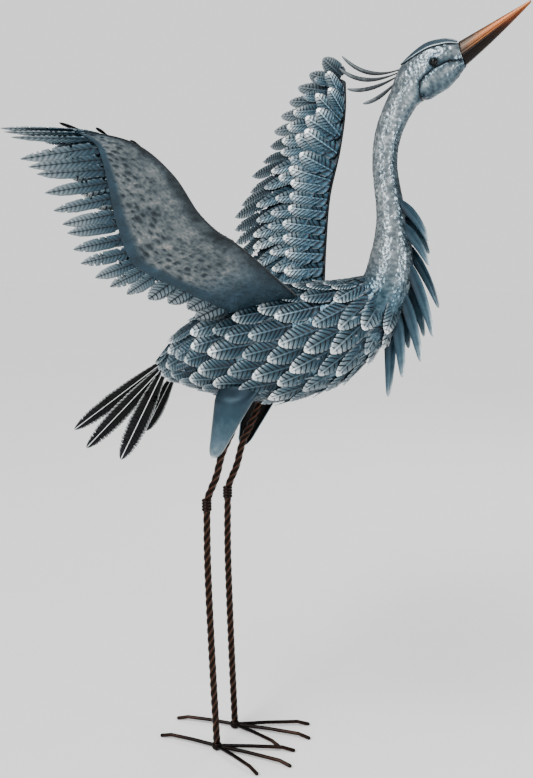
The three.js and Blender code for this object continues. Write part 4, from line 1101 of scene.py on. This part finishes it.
def covert_leaves(wing):
    rows = []
    for name, row in COVERT_ROWS.items():
        low, high = row["heights"]
        for tip_along, tip_back in row["tips"]:
            back = max(tip_back - row["length"], 0)
            along = tip_along + lean(name, tip_along) * (tip_back - back)
            root, tip = wing_point(wing, along, back, low), wing_point(wing, tip_along, tip_back, high)
            up = wing_up(wing, (along + tip_along) / 2)
            side = unit(np.cross(unit(tip - root), up))
            half = row["half"] * (1 - COVERT["slim"] * float(ease(0.7, 1, tip_along)))
            rows.append((root, tip, unit(up + side * COVERT["roll"] * wing["dorsal"]), half))
    return rows


def trim_to_edge(piece, wing):
    """Presses whatever stands out past the leading edge back to it, as if the leaves were trimmed with the sheet."""
    along = np.linspace(-0.02, 1.03, 300)
    lead = smooth_points(wing["lead"], along)
    chord = smooth_points(wing["tips"], along) - lead
    tangent = unit(np.gradient(lead, axis=0))
    inward = unit(chord - tangent * (chord * tangent).sum(axis=1, keepdims=True))
    spots = np.empty(len(piece.data.vertices) * 3)
    piece.data.vertices.foreach_get("co", spots)
    spots = (spots.reshape(-1, 3) - np.array(HUB)) / MM
    nearest = ((lead ** 2).sum(axis=1) - 2 * spots @ lead.T).argmin(axis=1)
    away = ((spots - lead[nearest]) * inward[nearest]).sum(axis=1)
    short = np.maximum(COVERT["margin"] - away, 0) * COVERT["press"]
    piece.data.vertices.foreach_set("co", placed(spots + inward[nearest] * short[:, None]).ravel())
    piece.data.update()


for number, wing in enumerate(WINGS):
    leaves = set_feathers(wing["name"] + "_wing_leaves", covert_leaves(wing), leaf_dies, lit_covert_steel, "feather_steel",
                          wing["name"] + "_wing_coverts", size_change=0.06, seed=31 + number)
    trim_to_edge(leaves, wing)

# %% [markdown]
# ## Thighs
# Each thigh is a half-cone of plain sheet, open toward the middle, with a narrow turned edge. Its top bends inward
# under the body's feathers.

# %% Thighs
THIGH = {"top": 618, "bottom": 497, "back": (15, 0), "front": (86, 13), "edge": 51, "bulge": 0.5, "thickness": 2.4,
         "rounded": 0.12, "tuck": 21}
THIGH_FORWARD = {"left": 6, "right": -3}


def thigh(name, side):
    down, around = grid(37, 33, low=0)
    back, front = between(*THIGH["back"], down), between(*THIGH["front"], down)
    end = np.clip((down - 1 + THIGH["rounded"]) / THIGH["rounded"], 0, 1)
    half = (front - back) / 2 * np.sqrt(np.maximum(1 - end ** 2, 0.02))
    tucked = THIGH["tuck"] * (1 - ease(0, 0.26, down))
    turn = math.pi * (1 - around)
    from_middle = np.abs(2 * around - 1)
    lip = 0.6 * ease(0.93, 1, from_middle) + 0.6 * ease(0.95, 1, down)

    def skin_at(height):
        x = THIGH_FORWARD[name] + (front + back) / 2 + (half + height) * np.cos(turn)
        y = side * (THIGH["edge"] - tucked + (half * THIGH["bulge"] + height) * np.sin(turn))
        return np.stack([x, y, between(THIGH["top"], THIGH["bottom"], down) + 0 * around], axis=-1)

    # The top is painted dark as the shadow under the body's feathers, and the side edges and the bottom are painted
    # light as highlight.
    crest = 0.08 + 0.7 * down + 0.5 * ease(0.92, 0.99, from_middle) + 0.3 * ease(0.95, 1, down)
    return sheet_mesh(name + "_thigh_sheet", skin_at(THIGH["thickness"] + lip), skin_at(0 * lip), {"crest": crest},
                      {"crest": -0.3 + 0 * crest})


for side, name in SIDES:
    dress(thigh(name, side), painted_sheet, "feather_steel", name + "_thigh")

# %% [markdown]
# ## Legs
# Square bar is heated and twisted, one turn every 62 mm. Its four winding edges are painted lighter as highlight.

# %% Twisted bars
LEG_Y, FOOT_Y = 44, 40
BAR = {"half": 5, "turn": 62, "steps": 30, "points": 6, "rounding": 0.86}
UPPER_LEG = [(60, 612), (33, 543), (15, 504), (4, 464), (-7, 438), (-12.5, 423)]
LOWER_LEG = [(-12.5, 411), (-12.5, 325), (-8, 191), (0, 12.4)]


def twisted_bar(name, stations):
    fine = smooth_points(stations, np.linspace(0, 1, 400))
    run = run_along(fine)
    distance = np.linspace(0, run[-1], int(run[-1] / BAR["turn"] * BAR["steps"]) + 1)
    centre = np.stack([np.interp(distance, run, fine[:, k]) for k in range(3)], axis=1)
    tangent = unit(np.gradient(centre, axis=0))
    front = unit(np.cross(tangent, LEFTWARD))
    left = unit(np.cross(front, tangent))
    corner, point = np.divmod(np.arange(4 * BAR["points"]), BAR["points"])
    a, share = (corner + 0.5) * math.pi / 2, point / BAR["points"]
    b = a + math.pi / 2
    u, w = ((1 - share) * wave(a) + share * wave(b) for wave in (np.cos, np.sin))
    radius = np.hypot(u, w)
    size = BAR["half"] * math.sqrt(2) * np.minimum(radius, BAR["rounding"])
    turned = np.arctan2(w, u) - (distance / BAR["turn"] * 2 * math.pi)[:, None]
    rings = moved(centre[:, None], (front[:, None], size * np.cos(turned)), (left[:, None], size * np.sin(turned)))
    # The winding edges are painted lighter as highlight.
    return tube_mesh(name, rings, {"crest": 0.1 + 0.8 * ease(0.7, 0.87, radius) + 0 * turned})


for side, name in SIDES:
    top, foot = LOWER_LEG[0][1], LOWER_LEG[-1][1]
    upper = [(x, side * LEG_Y, z) for x, z in UPPER_LEG]
    lower = [(x, side * (LEG_Y + (FOOT_Y - LEG_Y) * (top - z) / (top - foot)), z) for x, z in LOWER_LEG]
    for part, stations in (("upper", upper), ("lower", lower)):
        dress(twisted_bar(f"{name}_{part}_bar", stations), bronzed_bar, "bronzed_bar", f"{name}_{part}_leg")

# %% [markdown]
# ### Knee collars, foot welds and toes
# A ribbed collar hides the joint at each knee. Each foot is four round rods welded in a lump under the leg, level
# for most of their length, then bent down to flat pads on the ground. The toes are given by heading and length.

# %% Collars, welds and toes
KNEE = {"x": -12.5, "low": 407.4, "high": 426.8, "radius": 8.2, "neck": 6.6, "ribs": 4, "rings": 41}
WELD = {"low": 1, "high": 12.5, "radius": 8.2, "lumps": 0.35, "rings": 14}
TOE = {"radius": 3.1, "height": 6.8, "arch": 8.2, "drop": 17, "start": 5.5, "blunt": 3, "sole": 2.2,
       "around": 14}
TOES = {"middle_toe": (0, 119), "left_toe": (22, 113), "right_toe": (-25, 92), "back_toe": (182, 90)}
FOOT_TURN = {"right": -6, "left": 1.5}


def knee_collar(name, side):
    share = np.linspace(0, 1, KNEE["rings"])
    bulge = np.abs(np.sin(math.pi * share * KNEE["ribs"])) ** 0.6
    radii, heights = between(KNEE["neck"], KNEE["radius"], bulge), between(KNEE["low"], KNEE["high"], share)
    rings = [level_ring(radius, KNEE["x"], side * LEG_Y, height) for radius, height in zip(radii, heights)]
    return tube_mesh(name + "_knee_ribs", rings, {"crest": np.repeat(0.05 + 0.55 * bulge, AROUND_RING)})


def foot_weld(name, side):
    lumps = np.random.default_rng(5).normal(0, WELD["lumps"], (WELD["rings"], AROUND_RING))
    rings = [level_ring(WELD["radius"] * math.sin(math.pi * (0.16 + 0.68 * share)) ** 0.5 + row, 0, side * FOOT_Y,
                        between(WELD["low"], WELD["high"], share))
             for row, share in zip(lumps, np.linspace(0, 1, WELD["rings"]))]
    return tube_mesh(name + "_foot_lump", rings, {"crest": 0.3 + 0.4 * np.clip(lumps, -1, 1)})


def toe_rod(name, side, heading, length):
    out = np.array([math.cos(heading), math.sin(heading), 0])
    aside = np.cross(UPWARD, out)
    corner = full_turn(TOE["around"])
    end = length + TOE["drop"]
    bends = [(TOE["start"], TOE["height"], 0), (length / 2, TOE["arch"], 0), (length - 4, TOE["arch"] - 0.4, 0.1),
             (length + 2, TOE["height"] - 0.7, 0.35), (end, TOE["sole"], 0.3)]
    path = [between(np.array(a), np.array(b), share) for part, (a, b) in enumerate(zip(bends, bends[1:]))
            for share in (1 - np.linspace(1, 0, 13) ** (1.7 if part == 3 else 1))[min(part, 1):]]
    distance, height, tilt = np.array(path).T[..., None]
    left = np.clip((end - distance) / TOE["blunt"], 0, 1)
    radius = TOE["radius"] * np.sqrt(np.maximum(left * (2 - left), 0.04))
    rise = radius * np.cos(corner)
    rings = moved(LEFTWARD * side * FOOT_Y, (out, distance + rise * np.sin(tilt)), (aside, radius * np.sin(corner)),
                  (UPWARD, height + rise * np.cos(tilt)))
    rings[..., 2] = np.maximum(rings[..., 2], 0)
    crest = 0.2 + 0.5 * ease(0.3, 0.8, distance / end) - 0.3 * ease(0.92, 1, distance / end)
    return tube_mesh(name, rings, {"crest": crest + 0 * corner})


for side, name in SIDES:
    dress(knee_collar(name, side), bronzed_bar, "bronzed_bar", name + "_knee_collar")
    dress(foot_weld(name, side), bronzed_bar, "bronzed_bar", name + "_foot_weld")
    for toe, (angle, length) in TOES.items():
        heading = math.radians(angle + FOOT_TURN[name])
        dress(toe_rod(f"{name}_{toe}_rod", side, heading, length), bronzed_bar, "bronzed_bar", f"{name}_foot_{toe}")

for dies in (leaf_dies, blade_dies, quill_dies):
    for die in list(dies.objects):
        bpy.data.objects.remove(die)
    bpy.data.collections.remove(dies)

# %% [markdown]
# ## Floor and light
# The bird stands on a plain pale floor under soft studio light: one broad far lamp at the front left as the main
# light, a tall strip on either side near the bird to shine along the neck and wings, and one lamp behind to draw
# the edges. The world is brighter toward the front, and the camera sees it in the same pale grey as the floor.

# %% Floor and light
FLOOR_HALF = 12000
floor_paint, add, shader, place = new_finish("floor_paint_pale", Roughness=0.9)
cloudy = add("ShaderNodeTexNoise", {"Vector": place, "Scale": 2, "Detail": 2})
feed(shader, {"Base Color": add("ShaderNodeValToRGB", {"Fac": cloudy}, [(0, "#f7f7f6"), (1, "#fbfbfa")])})
corners = np.array([(-1, -1, 0), (1, -1, 0), (1, 1, 0), (-1, 1, 0)]) * FLOOR_HALF * MM
floor = make_object(make_mesh("floor", corners, [(0, 1, 2, 3)]))
floor.data.materials.append(floor_paint)


def add_lamp(name, kind, power, **settings):
    lamp = bpy.data.objects.new(name, bpy.data.lights.new(name, kind))
    lamp.data.energy = power
    for key, value in settings.items():
        setattr(lamp.data, key, value)
    bpy.context.scene.collection.objects.link(lamp)
    return lamp


def near_lamp(name, power, place, target, **settings):
    lamp = add_lamp(name, "AREA", power, **settings)
    lamp.location = Vector(place)
    lamp.rotation_euler = (Vector(target) - Vector(place)).to_track_quat("-Z", "Y").to_euler()


MAIN_HEIGHT, MAIN_AZIMUTH, MAIN_SPREAD = 48, -25, 40
STRIP = {"shape": "RECTANGLE", "size": 0.4, "size_y": 1.5}
main_lamp = add_lamp("main_lamp", "SUN", 3.2, angle=math.radians(MAIN_SPREAD))
main_lamp.rotation_euler = (math.radians(90 - MAIN_HEIGHT), 0, math.radians(MAIN_AZIMUTH))
near_lamp("right_strip", 24, (2.3, -0.6, 1.0), (0.1, 0, 0.8), **STRIP)
near_lamp("left_strip", 18, (-0.7, -2.3, 1.1), (0.1, 0, 0.8), **STRIP)
near_lamp("edge_lamp", 18, (0.4, 2.2, 2.3), (0, 0, 0.7), shape="DISK", size=1.2)

SEEN_STRENGTH = 1.28
FRONT = (0.33, -0.9, 0.3)
world = bpy.data.worlds.new("studio")
bpy.context.scene.world = world
world.use_nodes = True
add, background = partial(add_node, world.node_tree), world.node_tree.nodes["Background"]
aim = add("ShaderNodeTexCoord", out="Generated")
toward_front = add("ShaderNodeVectorMath", {0: aim, 1: FRONT}, out="Value", operation="DOT_PRODUCT")
glow = add("ShaderNodeMapRange", {"Value": toward_front, "From Min": -0.9, "From Max": 0.9, "To Min": 0.2,
                                  "To Max": 0.85})
seen = add("ShaderNodeLightPath", out="Is Camera Ray")
strength = add("ShaderNodeMix", {0: seen, 2: glow, 3: SEEN_STRENGTH}, data_type="FLOAT")
feed(background, {"Color": linear("#fafbfb"), "Strength": strength})
